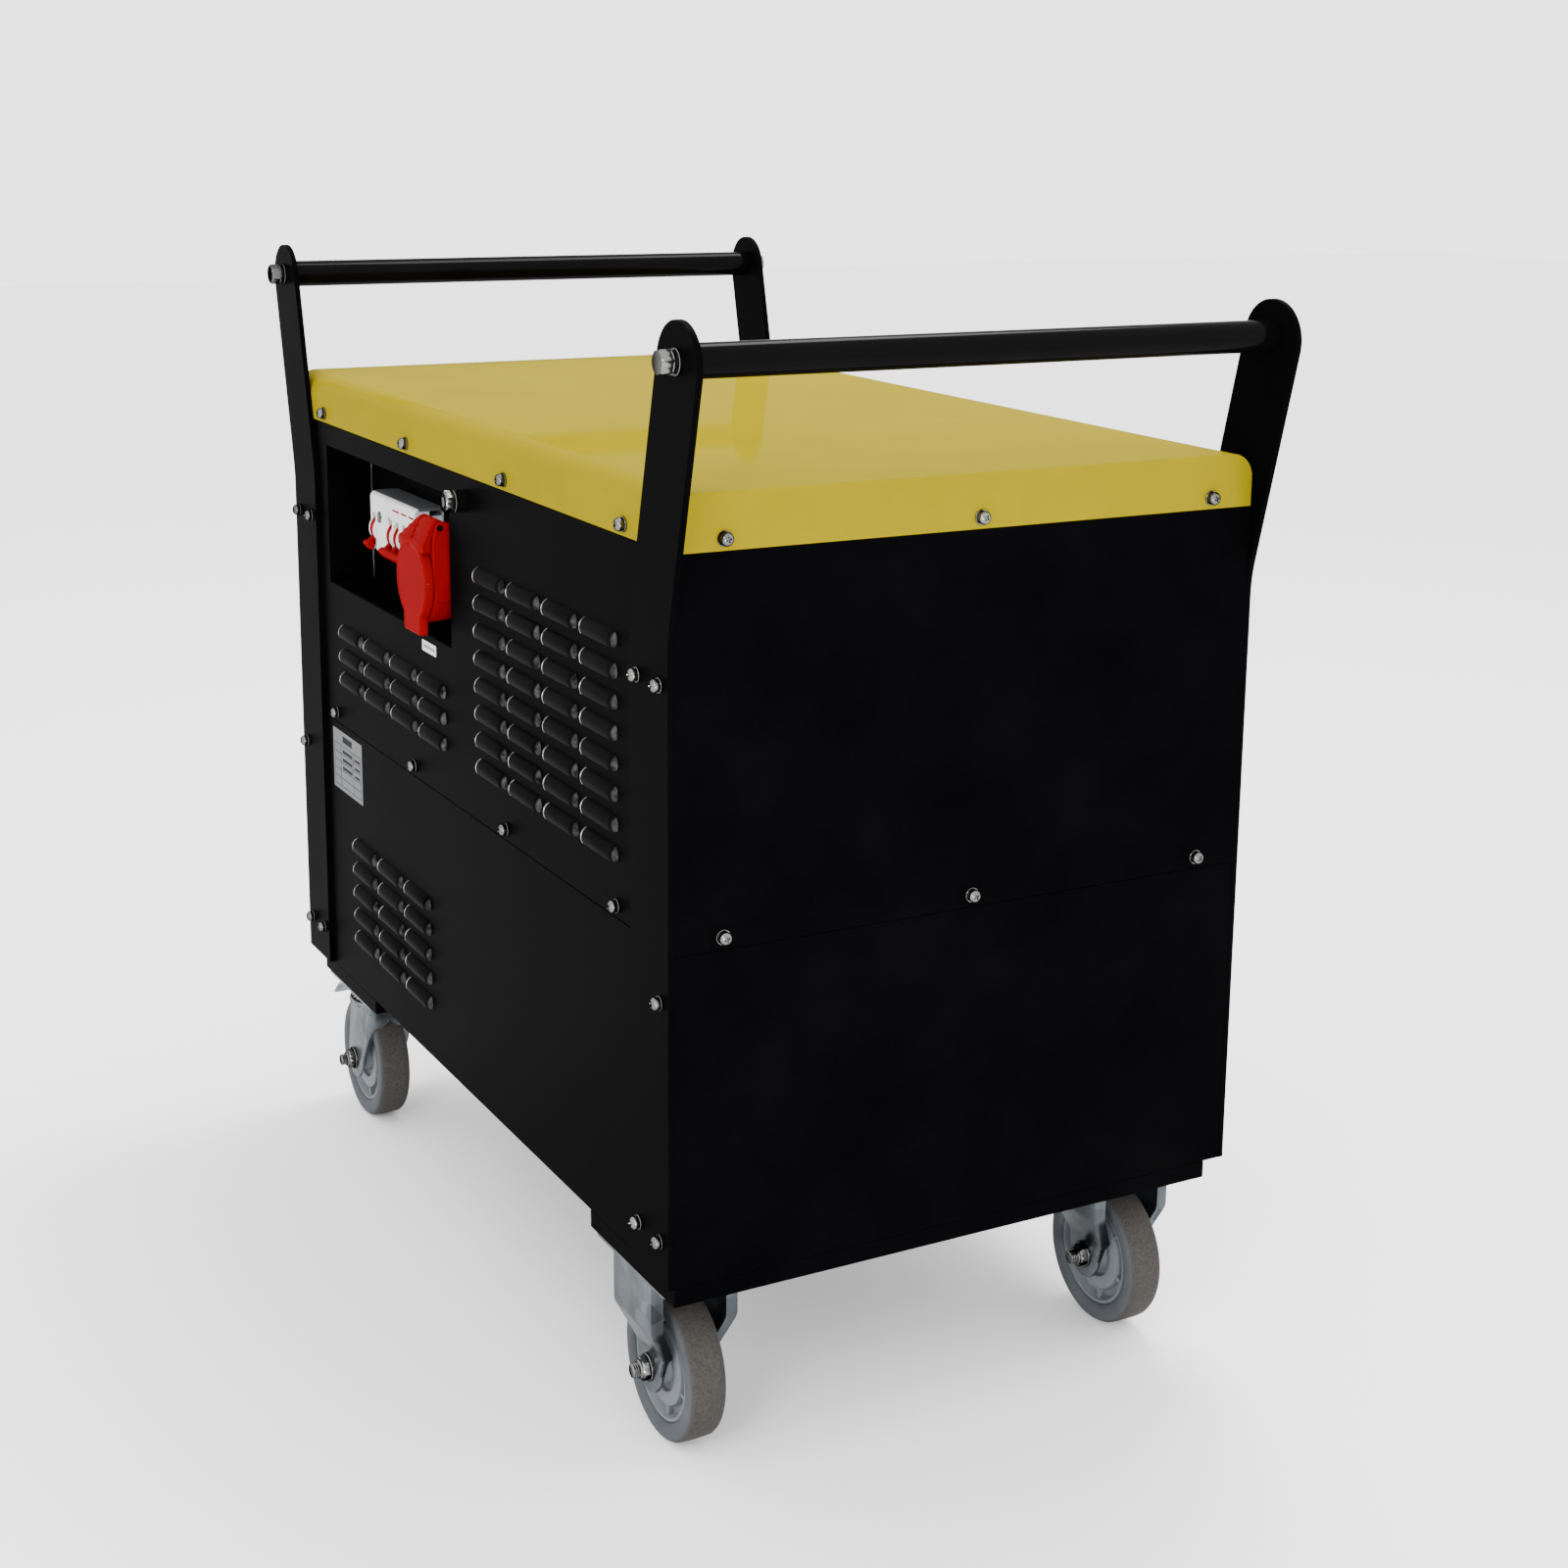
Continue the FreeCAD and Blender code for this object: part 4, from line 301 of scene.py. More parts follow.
def dress(node, width):
    """A CAD node's own shape, its flat faces merged, with rounded edges and its finish."""
    work = bmesh.new()
    work.from_mesh(frame["nodes"][node].data)
    bmesh.ops.remove_doubles(work, verts=work.verts, dist=1e-6)
    bmesh.ops.dissolve_limit(work, angle_limit=math.radians(0.5), verts=work.verts,
                             edges=work.edges)
    finish(node + "_skin", work, node, edge=width, angle=30)


def mark_points(mesh, name, strength):
    """Marks a mesh for its finish; the strength is a function of a point in millimetres."""
    entries = mesh.attributes.new(name, "FLOAT", "POINT").data
    for vert, entry in zip(mesh.vertices, entries):
        entry.value = strength(vert.co / MM)


def shade_faces(mesh, is_shaded):
    """Marks the faces that get painted shade on the plating, from each face's normal and centre."""
    entries = mesh.attributes.new("shade", "FLOAT", "FACE").data
    for face, entry in zip(mesh.polygons, entries):
        entry.value = is_shaded(face.normal, face.center / MM)


# Forms in millimetres, added to a mesh work

def polar(radius, turn):
    """The point (across, up) at a radius and an angle."""
    return radius * math.cos(turn), radius * math.sin(turn)


def circle(count, start=0.0):
    """Points spread evenly round a circle of radius 1, from an angle in degrees."""
    return [polar(1, math.radians(start) + 2 * math.pi * number / count)
            for number in range(count)]


def bridge(work, first, second):
    """Faces between two rings of points; a ring of one point is a pole."""
    count = max(len(first), len(second))
    for side in range(count):
        after = side + 1
        corners = [first[side % len(first)], first[after % len(first)],
                   second[after % len(second)], second[side % len(second)]]
        corners = list(dict.fromkeys(corners))
        if len(corners) > 2:
            work.faces.new(corners)


def add_rings(work, rings, closed=False, caps=True):
    """A skin over rings of points, with its two ends closed or joined to each other."""
    loops = [[work.verts.new(Vector(point) * MM) for point in ring] for ring in rings]
    for first, second in zip(loops, loops[1:]):
        bridge(work, first, second)
    if closed:
        bridge(work, loops[-1], loops[0])
    elif caps:
        for loop in (loops[0], loops[-1]):
            if len(loop) > 2:
                work.faces.new(loop)


def add_turned(work, profile, centre, axis, sides=48, closed=False):
    """A body turned about an axis, from points of (place along the axis, radius)."""
    along = Vector(axis).normalized()
    across = along.orthogonal().normalized()
    up = along.cross(across)
    rings = []
    for place, radius in profile:
        middle = Vector(centre) + along * place
        rings.append([middle + radius * (across * a + up * b)
                      for a, b in circle(sides if radius > 0 else 1)])
    add_rings(work, rings, closed)


def mirrored(half):
    """A profile from its half on one side."""
    return half + [(-place, radius) for place, radius in reversed(half)]


def add_prism(work, outline, depth):
    """A flat outline carried along a vector."""
    shift = Vector(depth)
    add_rings(work, [[Vector(point) for point in outline],
                     [Vector(point) + shift for point in outline]])


def add_block(work, low, high):
    """A box between two opposite corners."""
    add_prism(work, [(low[0], low[1], low[2]), (high[0], low[1], low[2]),
                     (high[0], high[1], low[2]), (low[0], high[1], low[2])],
              (0, 0, high[2] - low[2]))


def rounded(corners, radius, steps=5):
    """A flat outline of 2-D corners with each corner rounded; a corner may carry its own radius."""
    points = []
    count = len(corners)
    for place, corner in enumerate(corners):
        here = Vector(corner[:2])
        own = corner[2] if len(corner) > 2 else radius
        before = (Vector(corners[place - 1][:2]) - here).normalized()
        after = (Vector(corners[(place + 1) % count][:2]) - here).normalized()
        half = math.acos(max(-1, min(1, before.dot(after)))) / 2
        if own <= 0 or half > math.radians(89):
            points.append(tuple(here))
            continue
        reach = own / math.tan(half)
        middle = here + (before + after).normalized() * own / math.sin(half)
        start = here + before * reach - middle
        sweep = math.pi - 2 * half
        turn = 1 if before.x * after.y - before.y * after.x < 0 else -1
        for step in range(steps + 1):
            angle = turn * sweep * step / steps
            points.append((middle.x + start.x * math.cos(angle) - start.y * math.sin(angle),
                           middle.y + start.x * math.sin(angle) + start.y * math.cos(angle)))
    return points


def oblong(low, high, radius, steps=5):
    """A rectangle between two opposite corners, with its corners rounded."""
    return rounded([low, (high[0], low[1]), high, (low[0], high[1])], radius, steps)


def drawn_in(outline, shrink, reach, middle=(0, 0)):
    """An outline drawn in towards its middle: by the shrink, at its reach from there."""
    return [tuple(m + (value - m) * (1 - shrink / r)
                  for value, m, r in zip(point, middle, reach)) for point in outline]


# Copies set on seats by Geometry Nodes

def make_seat_tree():
    """Sets a form on every point, its X axis along "facing" and its Z axis towards "upward"."""
    tree = bpy.data.node_groups.new("forms_on_seats", "GeometryNodeTree")
    for name, kind in (("Seats", "Geometry"), ("Form", "Object"), ("Size", "Float"),
                       ("Largest Turn", "Float"), ("Seed", "Int"), ("Finish", "Material")):
        tree.interface.new_socket(name, in_out="INPUT", socket_type="NodeSocket" + kind)
    tree.interface.new_socket("Pieces", in_out="OUTPUT", socket_type="NodeSocketGeometry")
    new = tree.nodes.new
    given, result = new("NodeGroupInput"), new("NodeGroupOutput")
    form = new("GeometryNodeObjectInfo")
    facing, upward = (new("GeometryNodeInputNamedAttribute") for _ in range(2))
    for node, name in ((facing, "facing"), (upward, "upward")):
        node.data_type = "FLOAT_VECTOR"
        node.inputs["Name"].default_value = name
    face, lift = (new("FunctionNodeAlignRotationToVector") for _ in range(2))
    face.axis = "X"
    lift.axis = "Z"
    lift.pivot_axis = "X"
    place = new("GeometryNodeInstanceOnPoints")
    random = new("FunctionNodeRandomValue")
    random.data_type = "FLOAT"
    largest_float, float_value = 3, 1
    angle = new("ShaderNodeCombineXYZ")
    rotation = new("FunctionNodeEulerToRotation")
    turn = new("GeometryNodeRotateInstances")
    real = new("GeometryNodeRealizeInstances")
    coat = new("GeometryNodeSetMaterial")
    for source, output, target, entry in (
            (given, "Form", form, "Object"), (facing, "Attribute", face, "Vector"),
            (face, "Rotation", lift, "Rotation"), (upward, "Attribute", lift, "Vector"),
            (given, "Seats", place, "Points"), (form, "Geometry", place, "Instance"),
            (lift, "Rotation", place, "Rotation"), (given, "Size", place, "Scale"),
            (given, "Largest Turn", random, largest_float), (given, "Seed", random, "Seed"),
            (random, float_value, angle, "X"), (angle, "Vector", rotation, "Euler"),
            (place, "Instances", turn, "Instances"), (rotation, "Rotation", turn, "Rotation"),
            (turn, "Instances", real, "Geometry"), (real, "Geometry", coat, "Geometry"),
            (given, "Finish", coat, "Material"), (coat, "Geometry", result, "Pieces")):
        tree.links.new(source.outputs[output], target.inputs[entry])
    return tree


seat_tree = make_seat_tree()
seat_sockets = {item.name: item.identifier for item in seat_tree.interface.items_tree
                if item.in_out == "INPUT"}

# Forms stay in the scene until every copy of them is set.
forms = []


def new_form(name, work, angle=30):
    """A form about the origin, facing +X, for the seats."""
    bmesh.ops.recalc_face_normals(work, faces=work.faces)
    form = new_object(name, mesh_from(name, work))
    smooth(form.data, angle)
    forms.append(form)
    return form


def set_on_seats(name, form, seats, node, slot=None, seed=None, coat=None):
    """One piece of many copies, in place of a node: each seat is (point, facing, upward).

    With a seed, each copy is turned at random about its facing, by up to half a turn.
    """
    slot = slot or slot_of[node]
    mesh = bpy.data.meshes.new(name + "_seats")
    mesh.from_pydata([Vector(seat[0]) * MM for seat in seats], [], [])
    for place, title in ((1, "facing"), (2, "upward")):
        values = mesh.attributes.new(title, "FLOAT_VECTOR", "POINT")
        for entry, seat in zip(values.data, seats):
            entry.vector = seat[place]
    carrier = new_object(name + "_seats", mesh)
    modifier = carrier.modifiers.new("copies", "NODES")
    modifier.node_group = seat_tree
    given = {"Form": form, "Size": 1.0, "Largest Turn": math.pi if seed else 0.0,
             "Seed": seed or 1, "Finish": materials[coat or slot]}
    for title, value in given.items():
        modifier[seat_sockets[title]] = value
    evaluated = carrier.evaluated_get(bpy.context.evaluated_depsgraph_get())
    copies = bpy.data.meshes.new_from_object(evaluated)
    copies.name = name
    for title in ("facing", "upward"):
        if title in copies.attributes:
            copies.attributes.remove(copies.attributes[title])
    bpy.data.objects.remove(carrier)
    piece = add_piece(name, copies, body_of[node], slot, coat)
    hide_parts(node)


LEFT, RIGHT, FRONT, REAR = (-1, 0, 0), (1, 0, 0), (0, -1, 0), (0, 1, 0)
UP, DOWN = (0, 0, 1), (0, 0, -1)
ORIGIN = (0, 0, 0)

# The cabinet's faces and levels, in millimetres.
SIDE, END, POST_FACE, SHEET = 257.5, 438.5, 262.5, 2.0
BASE, SEAM, SKIRT = 171.5, 436.0, 736.0
RECESS_LOW, RECESS_HIGH = (11.0, 578.0), (348.0, 714.0)


# Screws and bolts

def screw_form():
    """Pan-head screw with a cross recess, a split spring washer and a flat washer."""
    work = bmesh.new()
    add_turned(work, [(-6, 0), (-6, 2.6), (0, 2.6), (0, 5.9), (0.25, 6), (1.25, 6), (1.5, 5.8),
                      (1.5, 0)], ORIGIN, RIGHT, 24)
    gap, steps = math.radians(14), 18
    coil = []
    for step in range(steps + 1):
        turn = gap + (2 * math.pi - 2 * gap) * step / steps
        rise = 1.5 + 0.5 * step / steps
        coil.append([(rise + x, *polar(radius, turn))
                     for x, radius in ((0, 2.8), (0, 4.7), (1.05, 4.7), (1.05, 2.8))])
    add_rings(work, coil)
    sides = 24
    angles = [2 * math.pi * side / sides for side in range(sides)]

    def cross(angle):
        """How far the cross recess reaches in one direction."""
        off_arm = abs((angle + math.pi / 4) % (math.pi / 2) - math.pi / 4)
        return min(2.5 / math.cos(off_arm), 0.62 / max(math.sin(off_arm), 0.01))

    head = [(x, [radius] * sides) for x, radius in (
        (2.9, 2.8), (3.0, 5.0), (3.2, 5.25), (4.8, 5.25), (5.9, 4.8), (6.8, 3.9), (7.25, 2.95))]
    recess = [(x, [share * cross(angle) for angle in angles])
              for x, share in ((7.4, 1), (5.9, 0.8))]
    rings = [[(x, *polar(*pair)) for pair in zip(radii, angles)] for x, radii in head + recess]
    add_rings(work, rings + [[(5.6, 0, 0)]], caps=False)
    return new_form("case_screw", work, 35)


def screw_seats():
    """Every case screw's seat, direction and upward."""
    skirt_row, seam_row = 745, 446
    seats = []
    for facing, sign in ((LEFT, -1), (RIGHT, 1)):
        for end in (-1, 1):
            for inset, levels in ((14, (206.5, 397.5, 639)), (52, (206.5, 639))):
                seats += [((sign * POST_FACE, end * (END - inset), z), facing, UP) for z in levels]
        for first, pitch, z in ((-353.5, 235, skirt_row), (-337.5, 225, seam_row)):
            seats += [((sign * SIDE, first + pitch * place, z), facing, UP) for place in range(4)]
    for facing, sign in ((FRONT, -1), (REAR, 1)):
        seats += [((x, sign * END, z), facing, UP) for z in (skirt_row, seam_row)
                  for x in (-217.5, 0, 217.5)]
    return seats


def add_hexagon(work, flats, low, high, crown=0.0):
    """A hexagon along X, its corners cut to a cone at its outer end."""
    half, cone, sides = flats / 2, 0.96, 24
    turns = [2 * math.pi * side / sides for side in range(sides)]
    full = [half / math.cos(abs((turn + math.pi / 6) % (math.pi / 3) - math.pi / 6))
            for turn in turns]
    cut = [min(radius, half * 0.99) for radius in full]
    levels = ((low, [half * 0.6] * sides), (low, full), (high - cone, full), (high, cut),
              (high + crown, [radius * 0.8 for radius in cut]))
    add_rings(work, [[(x, *polar(*pair)) for pair in zip(radii, turns)] for x, radii in levels])


def add_disc(work, low, high, radius, edge=0.3):
    """A washer or round body along X with worn edges."""
    add_turned(work, [(low, 0), (low, radius - edge), (low + edge, radius),
                      (high - edge, radius), (high, radius - edge), (high, 0)], ORIGIN, RIGHT, 32)


def add_thread(work, low, high, radius, pitch):
    """A threaded end along X: rings in and out by the depth of the thread."""
    profile = [(low, 0), (low, radius - 0.5 * pitch)]
    turns = max(1, int((high - low) / pitch))
    step = (high - low) / turns
    for number in range(turns):
        start = low + step * number
        profile += [(start + 0.15 * step, radius - 0.45 * pitch), (start + 0.5 * step, radius),
                    (start + 0.85 * step, radius - 0.45 * pitch)]
    profile += [(high, radius - 0.8 * pitch), (high, 0)]
    add_turned(work, profile, ORIGIN, RIGHT, 24)


def add_bolt(work, discs=(), hexagon=None, thread=None):
    """Washers and shank, a hexagon and a threaded end along X; each may be left out."""
    for disc in discs:
        add_disc(work, *disc)
    if hexagon:
        add_hexagon(work, *hexagon)
    if thread:
        add_thread(work, *thread)
    return work


# Where each caster is fixed, and the levels of its wheel, rail and bolts.
CASTERS = {"front_left": (-216, -354), "front_right": (205, -354),
           "rear_left": (-216, 330), "rear_right": (205, 330)}
FRONT_WHEEL_Y, REAR_WHEEL_Y, AXLE_Z = -354, 372, 62.5
RAIL_Z, FORK_SHEET = 153.5, 3.0
BAR_Y, BAR_Z = 452.5, 874


def make_fasteners():
    """Case screws, push bar bolts, and the nuts and heads of the caster bolts."""
    bar_bolt = add_bolt(bmesh.new(), [(0, 2, 10), (2.05, 4.45, 8.2, 0.4), (4.5, 6.0, 9.4, 0.5),
                                      (-6, 8.5, 4.9, 0.3)], (17, 6.0, 14.6, 0.2))
    nut = add_bolt(bmesh.new(), [(0, 1.2, 7.4, 0.2)], (13, 1.2, 6.0), (-4, 6.5, 3.9, 1.25))
    head = add_bolt(bmesh.new(), hexagon=(13, 0, 5.3, 0.1))
    bars = [((sign * POST_FACE, end * BAR_Y, BAR_Z), facing, UP)
            for facing, sign in ((LEFT, -1), (RIGHT, 1)) for end in (-1, 1)]
    bolt_across, bolt_along, plate_top = 25, 55, 160
    points = [(x + across * bolt_across, y + along * bolt_along) for x, y in CASTERS.values()
              for across in (-1, 1) for along in (-1, 1)]
    below = [((x, y, RAIL_Z), DOWN, REAR) for x, y in points]
    above = [((x, y, plate_top), UP, REAR) for x, y in points]
    set_on_seats("case_screws_set", screw_form(), screw_seats(), "case_screws", seed=7)
    set_on_seats("push_bar_bolts", new_form("push_bar_bolt", bar_bolt, 35), bars, "handle_bolts",
                 seed=3)
    set_on_seats("caster_nuts", new_form("caster_nut", nut, 35), below, "caster_bolts", "zinc",
                 seed=5)
    set_on_seats("caster_bolt_heads", new_form("caster_bolt_head", head, 35), above,
                 "caster_bolts", "zinc", seed=6)


# Walls and louvres

HOOD_LENGTH, HOOD_RADIUS, HOOD_SINK = 66.0, 9.0, 3.5
HOOD_MOUTH, HOOD_WALL, HOOD_SLOT = 5.0, 1.2, 9.0
HOOD_REACH = HOOD_LENGTH / 2 - math.sqrt(HOOD_RADIUS ** 2 - HOOD_SINK ** 2)
COLUMN_PITCH, ROW_PITCH = 75, 24

# Banks of louvres: first column, number of columns, top row, number of rows.
FRONT_BANK = (-307.5, 4, 654, 8)
MIDDLE_BANK = (60.5, 4, 533, 3)
LOWER_BANK = (111.5, 3, 320, 5)


def hood_form():
    """One pressed hood: a half-round barrel with round ends, open at the bottom."""
    widest = math.acos(HOOD_SINK / HOOD_RADIUS)
    end_steps, arc_steps = 5, 7
    slices = []
    for step in range(end_steps + 1):
        tilt = widest * (1 - step / end_steps)
        slices.append((-HOOD_REACH - HOOD_RADIUS * math.sin(tilt), HOOD_RADIUS * math.cos(tilt)))
    slices += [(-y, around) for y, around in reversed(slices)]
    work = bmesh.new()
    rows = []
    for y, around in slices:
        top = math.acos(min(1, HOOD_SINK / around))
        low = -min(math.asin(min(1, HOOD_MOUTH / around)), top)
        turns = [top + (low - top) * step / arc_steps for step in range(arc_steps + 1)]
        rows.append([work.verts.new(Vector((around * math.cos(turn) - HOOD_SINK, y,
                                            around * math.sin(turn))) * MM) for turn in turns])
    for first, second in zip(rows, rows[1:]):
        for step in range(arc_steps):
            work.faces.new((first[step], second[step], second[step + 1], first[step + 1]))
    bmesh.ops.remove_doubles(work, verts=work.verts, dist=1e-5)
    bmesh.ops.recalc_face_normals(work, faces=work.faces)
    if sum(face.normal.x for face in work.faces) < 0:
        bmesh.ops.reverse_faces(work, faces=work.faces)
    inner = bmesh.ops.duplicate(work, geom=work.verts[:] + work.edges[:] + work.faces[:])["geom"]
    outward = {vert: vert.normal.copy() for vert in work.verts}
    for item in inner:
        if isinstance(item, bmesh.types.BMVert):
            item.co -= outward[item] * HOOD_WALL * MM
    faces = [item for item in inner if isinstance(item, bmesh.types.BMFace)]
    bmesh.ops.reverse_faces(work, faces=faces)
    bmesh.ops.bridge_loops(work, edges=[edge for edge in work.edges if edge.is_boundary])
    form = new_form("louvre_hood", work, 50)

    def painted_highlight(point):
        """Painted highlight on the ends: strongest on the near one, and low down."""
        if point.y < -HOOD_REACH - 2.0:
            return 1.0 if point.z < 4.5 else 0.3
        return 0.05 if point.y > HOOD_REACH + 5.0 else 0.0

    mark_points(form.data, "painted_highlight", painted_highlight)
    return form


def bank_seats(banks, sign):
    """The seats of all hoods in some banks, on the left wall (-1) or the right wall (1)."""
    return [((sign * SIDE, first + COLUMN_PITCH * column, top - ROW_PITCH * row),
             (sign, 0, 0), UP) for first, columns, top, rows in banks
            for column in range(columns) for row in range(rows)]


def pierced_wall(name, x_faces, low, high, openings, node):
    """A flat wall across X between two corners (y, z), with square openings through it."""
    ys = sorted({low[0], high[0], *(edge for o in openings for edge in o[:2])})
    zs = sorted({low[1], high[1], *(edge for o in openings for edge in o[2:])})
    work = bmesh.new()
    points = {}

    def corner(face, y, z):
        key = (face, round(y, 3), round(z, 3))
        if key not in points:
            points[key] = work.verts.new(Vector((x_faces[face], y, z)) * MM)
        return points[key]

    def is_open(y, z):
        return (not (low[0] < y < high[0] and low[1] < z < high[1])
                or any(o[0] < y < o[1] and o[2] < z < o[3] for o in openings))

    beyond = 0.01
    for y, next_y in zip(ys, ys[1:]):
        for z, next_z in zip(zs, zs[1:]):
            mid_y, mid_z = (y + next_y) / 2, (z + next_z) / 2
            if is_open(mid_y, mid_z):
                continue
            square = [(y, z), (next_y, z), (next_y, next_z), (y, next_z)]
            for face in (0, 1):
                work.faces.new([corner(face, *point) for point in square])
            beside = [(mid_y, z - beyond), (next_y + beyond, mid_z), (mid_y, next_z + beyond),
                      (y - beyond, mid_z)]
            for side, point in enumerate(beside):
                if is_open(*point):
                    a, b = square[side], square[(side + 1) % 4]
                    work.faces.new([corner(0, *a), corner(0, *b), corner(1, *b), corner(1, *a)])
    finish(name, work, node, edge=0.6)


def make_walls():
    """Side walls with their louvres and the recess, end walls, base tray and caster rails."""
    hood = hood_form()
    slot_half = HOOD_REACH + 4.5
    for face, sign in (("left", -1), ("right", 1)):
        upper_banks = [FRONT_BANK, MIDDLE_BANK] if face == "left" else [FRONT_BANK]
        for level, banks, low, high in (("upper", upper_banks, SEAM + 0.25, SKIRT - 0.5),
                                        ("lower", [LOWER_BANK], BASE, SEAM - 0.25)):
            seats = bank_seats(banks, sign)
            openings = [(y - slot_half, y + slot_half, z - HOOD_MOUTH, z - HOOD_MOUTH + HOOD_SLOT)
                        for (_, y, z), _, _ in seats]
            if face == "left" and level == "upper":
                openings.append((RECESS_LOW[0], RECESS_HIGH[0], RECESS_LOW[1], RECESS_HIGH[1]))
            node = f"{face}_{level}_panel"
            pierced_wall(node + "_wall", (sign * SIDE, sign * (SIDE - SHEET)),
                         (-END + SHEET, low), (END - SHEET, high), openings, node)
            set_on_seats(node + "_louvres", hood, seats, node, coat="black_pressed")
    for node in ("front_upper_panel", "front_lower_panel", "rear_upper_panel", "rear_lower_panel"):
        dress(node, 0.7)
    dress("recess_box", 0.5)
    # Painted highlight: a thin bright zinc strip in the recess's inner corner stands for light
    # caught on the fold.
    fold = bmesh.new()
    outline = oblong((-213.6, 345.4), (-212.4, 347.0), 0.3, 2)
    add_prism(fold, [(x, y, 579) for x, y in outline], (0, 0, 134))
    finish("recess_fold", fold, "recess_box", "zinc", angle=30)
    dress("base_tray", 0.6)
    dress("caster_rails", 1.0)


def make_lid_and_posts():
    """Yellow lid, push bars and the four bent posts."""
    dress("lid", 1.4)
    for end in ("front", "rear"):
        dress(f"{end}_handle_bar", 0.5)
        for side in ("left", "right"):
            dress(f"{end}_{side}_post", 0.8)


# Casters

def make_wheel(corner, x, y):
    """Tyre with a warm grey tread and cooler side walls, and a ribbed hub."""
    centre = (x, y, AXLE_Z)
    tyre = bmesh.new()
    add_turned(tyre, mirrored([(12.6, 46.1), (14.4, 47.2), (15.6, 49.5), (16, 52), (16, 57.2),
                               (15.6, 59.2), (14.4, 60.9), (12.4, 62.0), (9, 62.35), (4, 62.5)]),
               centre, RIGHT, 144, closed=True)
    piece = finish(corner + "_tyre_ring", tyre, corner + "_tyre", angle=40)
    shoulder, blend_width = 59, 2.4

    def tread(point):
        """Runs from the side wall to the tread across the shoulder."""
        radius = math.hypot(point.y - y, point.z - AXLE_Z)
        return max(0, min(1, (radius - shoulder) / blend_width))

    mark_points(piece.data, "tread", tread)

    hub = bmesh.new()
    add_turned(hub, mirrored([
        (19.5, 6.2), (19.5, 13.2), (18.9, 14), (9.5, 15.2), (8.6, 16), (8.4, 20.6), (9, 21.4),
        (11.4, 22), (12, 22.6), (12, 32.2), (11.5, 33.2), (6.6, 34.6), (6, 35.4), (6, 40.6),
        (6.8, 41.4), (12.4, 42.6), (13.2, 43.2), (13.2, 45.2), (12.6, 46)]), centre, RIGHT, 96,
        closed=True)
    finish(corner + "_hub_body", hub, corner + "_hub")
    rib = bmesh.new()
    outline = rounded([(-4.6, -1.5), (4.6, -1.9), (4.6, 1.9), (-4.6, 1.5)], 0.6, 3)
    add_prism(rib, [(-7, a, b) for b, a in outline], (12.5, 0, 0))
    rib_radius = 38
    seats = [((x + sign * 5.0, y + rib_radius * a, AXLE_Z + rib_radius * b), facing, (0, a, b))
             for facing, sign in ((LEFT, -1), (RIGHT, 1)) for a, b in circle(6, 20)]
    set_on_seats(corner + "_hub_ribs", new_form("hub_rib", rib), seats, corner + "_hub")


def leg_ring(side, x, y, z, outer, edges, flanges, bulge=0.0):
    """One level of a pressed fork leg: a flat with its near and far edges bent inwards.

    A near flange as wide as the leg's distance from the middle closes the fork's front, and the
    bulge carries that front forwards.
    """
    sheet, (near, far) = FORK_SHEET, edges
    bend = min(2.5, (far - near) * 0.3)
    soft = 0.29 * bend
    front = []
    for step in range(5):
        across = outer - flanges[0] + (flanges[0] - bend) * step / 4
        front.append((across, near - bulge * (1 - (across / outer) ** 2)))
    outside = front + [(outer - soft, near + soft), (outer, near + bend), (outer, far - bend),
                       (outer - soft, far - soft), (outer - bend, far), (outer - flanges[1], far)]
    inside = [(outer - flanges[1], far - sheet), (outer - sheet, far - sheet),
              (outer - sheet, near + sheet)]
    inside += [(min(across, outer - sheet - 0.01 * (5 - step)), back + sheet)
               for step, (across, back) in enumerate(reversed(front))]
    return [(x + side * a, y + b, z) for a, b in outside + inside]


def fork_leg(work, side, x, y, levels, foot):
    """A leg from its levels (height, outer face, edges, flanges, bulge) down to its round foot."""
    rings = [leg_ring(side, x, y, z, outer, edges, flanges, bulge)
             for z, outer, edges, flanges, bulge in levels]
    outer, centre, radius = foot
    for step in range(1, 8):
        turn = math.radians(11.6 * step)
        flange = max(FORK_SHEET + 0.2, 5 - step)
        half = max(radius * math.cos(turn), FORK_SHEET + 0.5)
        rings.append(leg_ring(side, x, y, AXLE_Z - radius * math.sin(turn), outer,
                              (centre - half, centre + half), (flange, flange)))
    add_rings(work, rings)


def add_caster_plate(work, x, y):
    """The top plate with round corners and a rolled lower edge."""
    outline = oblong((-41, -69), (41, 69), 11, 6)
    add_rings(work, [[(x + a, y + b, z) for a, b in drawn_in(outline, shrink, (41, 69))]
                     for z, shrink in ((RAIL_Z, 0.8), (RAIL_Z + 0.8, 0), (156.4, 0), (157, 0.6))])


def make_axle(corner, x, y):
    """Axle bolt: hexagon head on the right; washer, lock nut and threaded end on the left."""
    node = "front_axles" if corner.startswith("front") else corner + "_axle"
    face = 24
    shaft = bmesh.new()
    add_turned(shaft, [(-face, 0), (-face, 6), (face, 6), (face, 0)], (x, y, AXLE_Z), RIGHT, 32)
    finish(corner + "_axle_shaft", shaft, slot="bright_steel", body=body_of[node])
    nut = add_bolt(bmesh.new(), [(0, 1.8, 11.5, 0.4)], (17, 1.8, 7.4))
    add_turned(nut, [(6.6, 6), (6.6, 8.0), (8.4, 7.8), (9.2, 7.0), (9.2, 6)], ORIGIN, RIGHT, 32,
               closed=True)
    add_thread(nut, 6, 15.0, 5.9, 1.75)
    nut.transform(Matrix.Translation(Vector((x - face, y, AXLE_Z)) * MM)
                  @ Matrix.Rotation(math.pi, 4, "Z") @ Matrix.Rotation(0.35, 4, "X"))
    finish(corner + "_axle_nut", nut, node)
    head = add_bolt(bmesh.new(), hexagon=(17, 0, 7.0, 0.5))
    head.transform(Matrix.Translation(Vector((x + face, y, AXLE_Z)) * MM))
    finish(corner + "_axle_head", head, node)


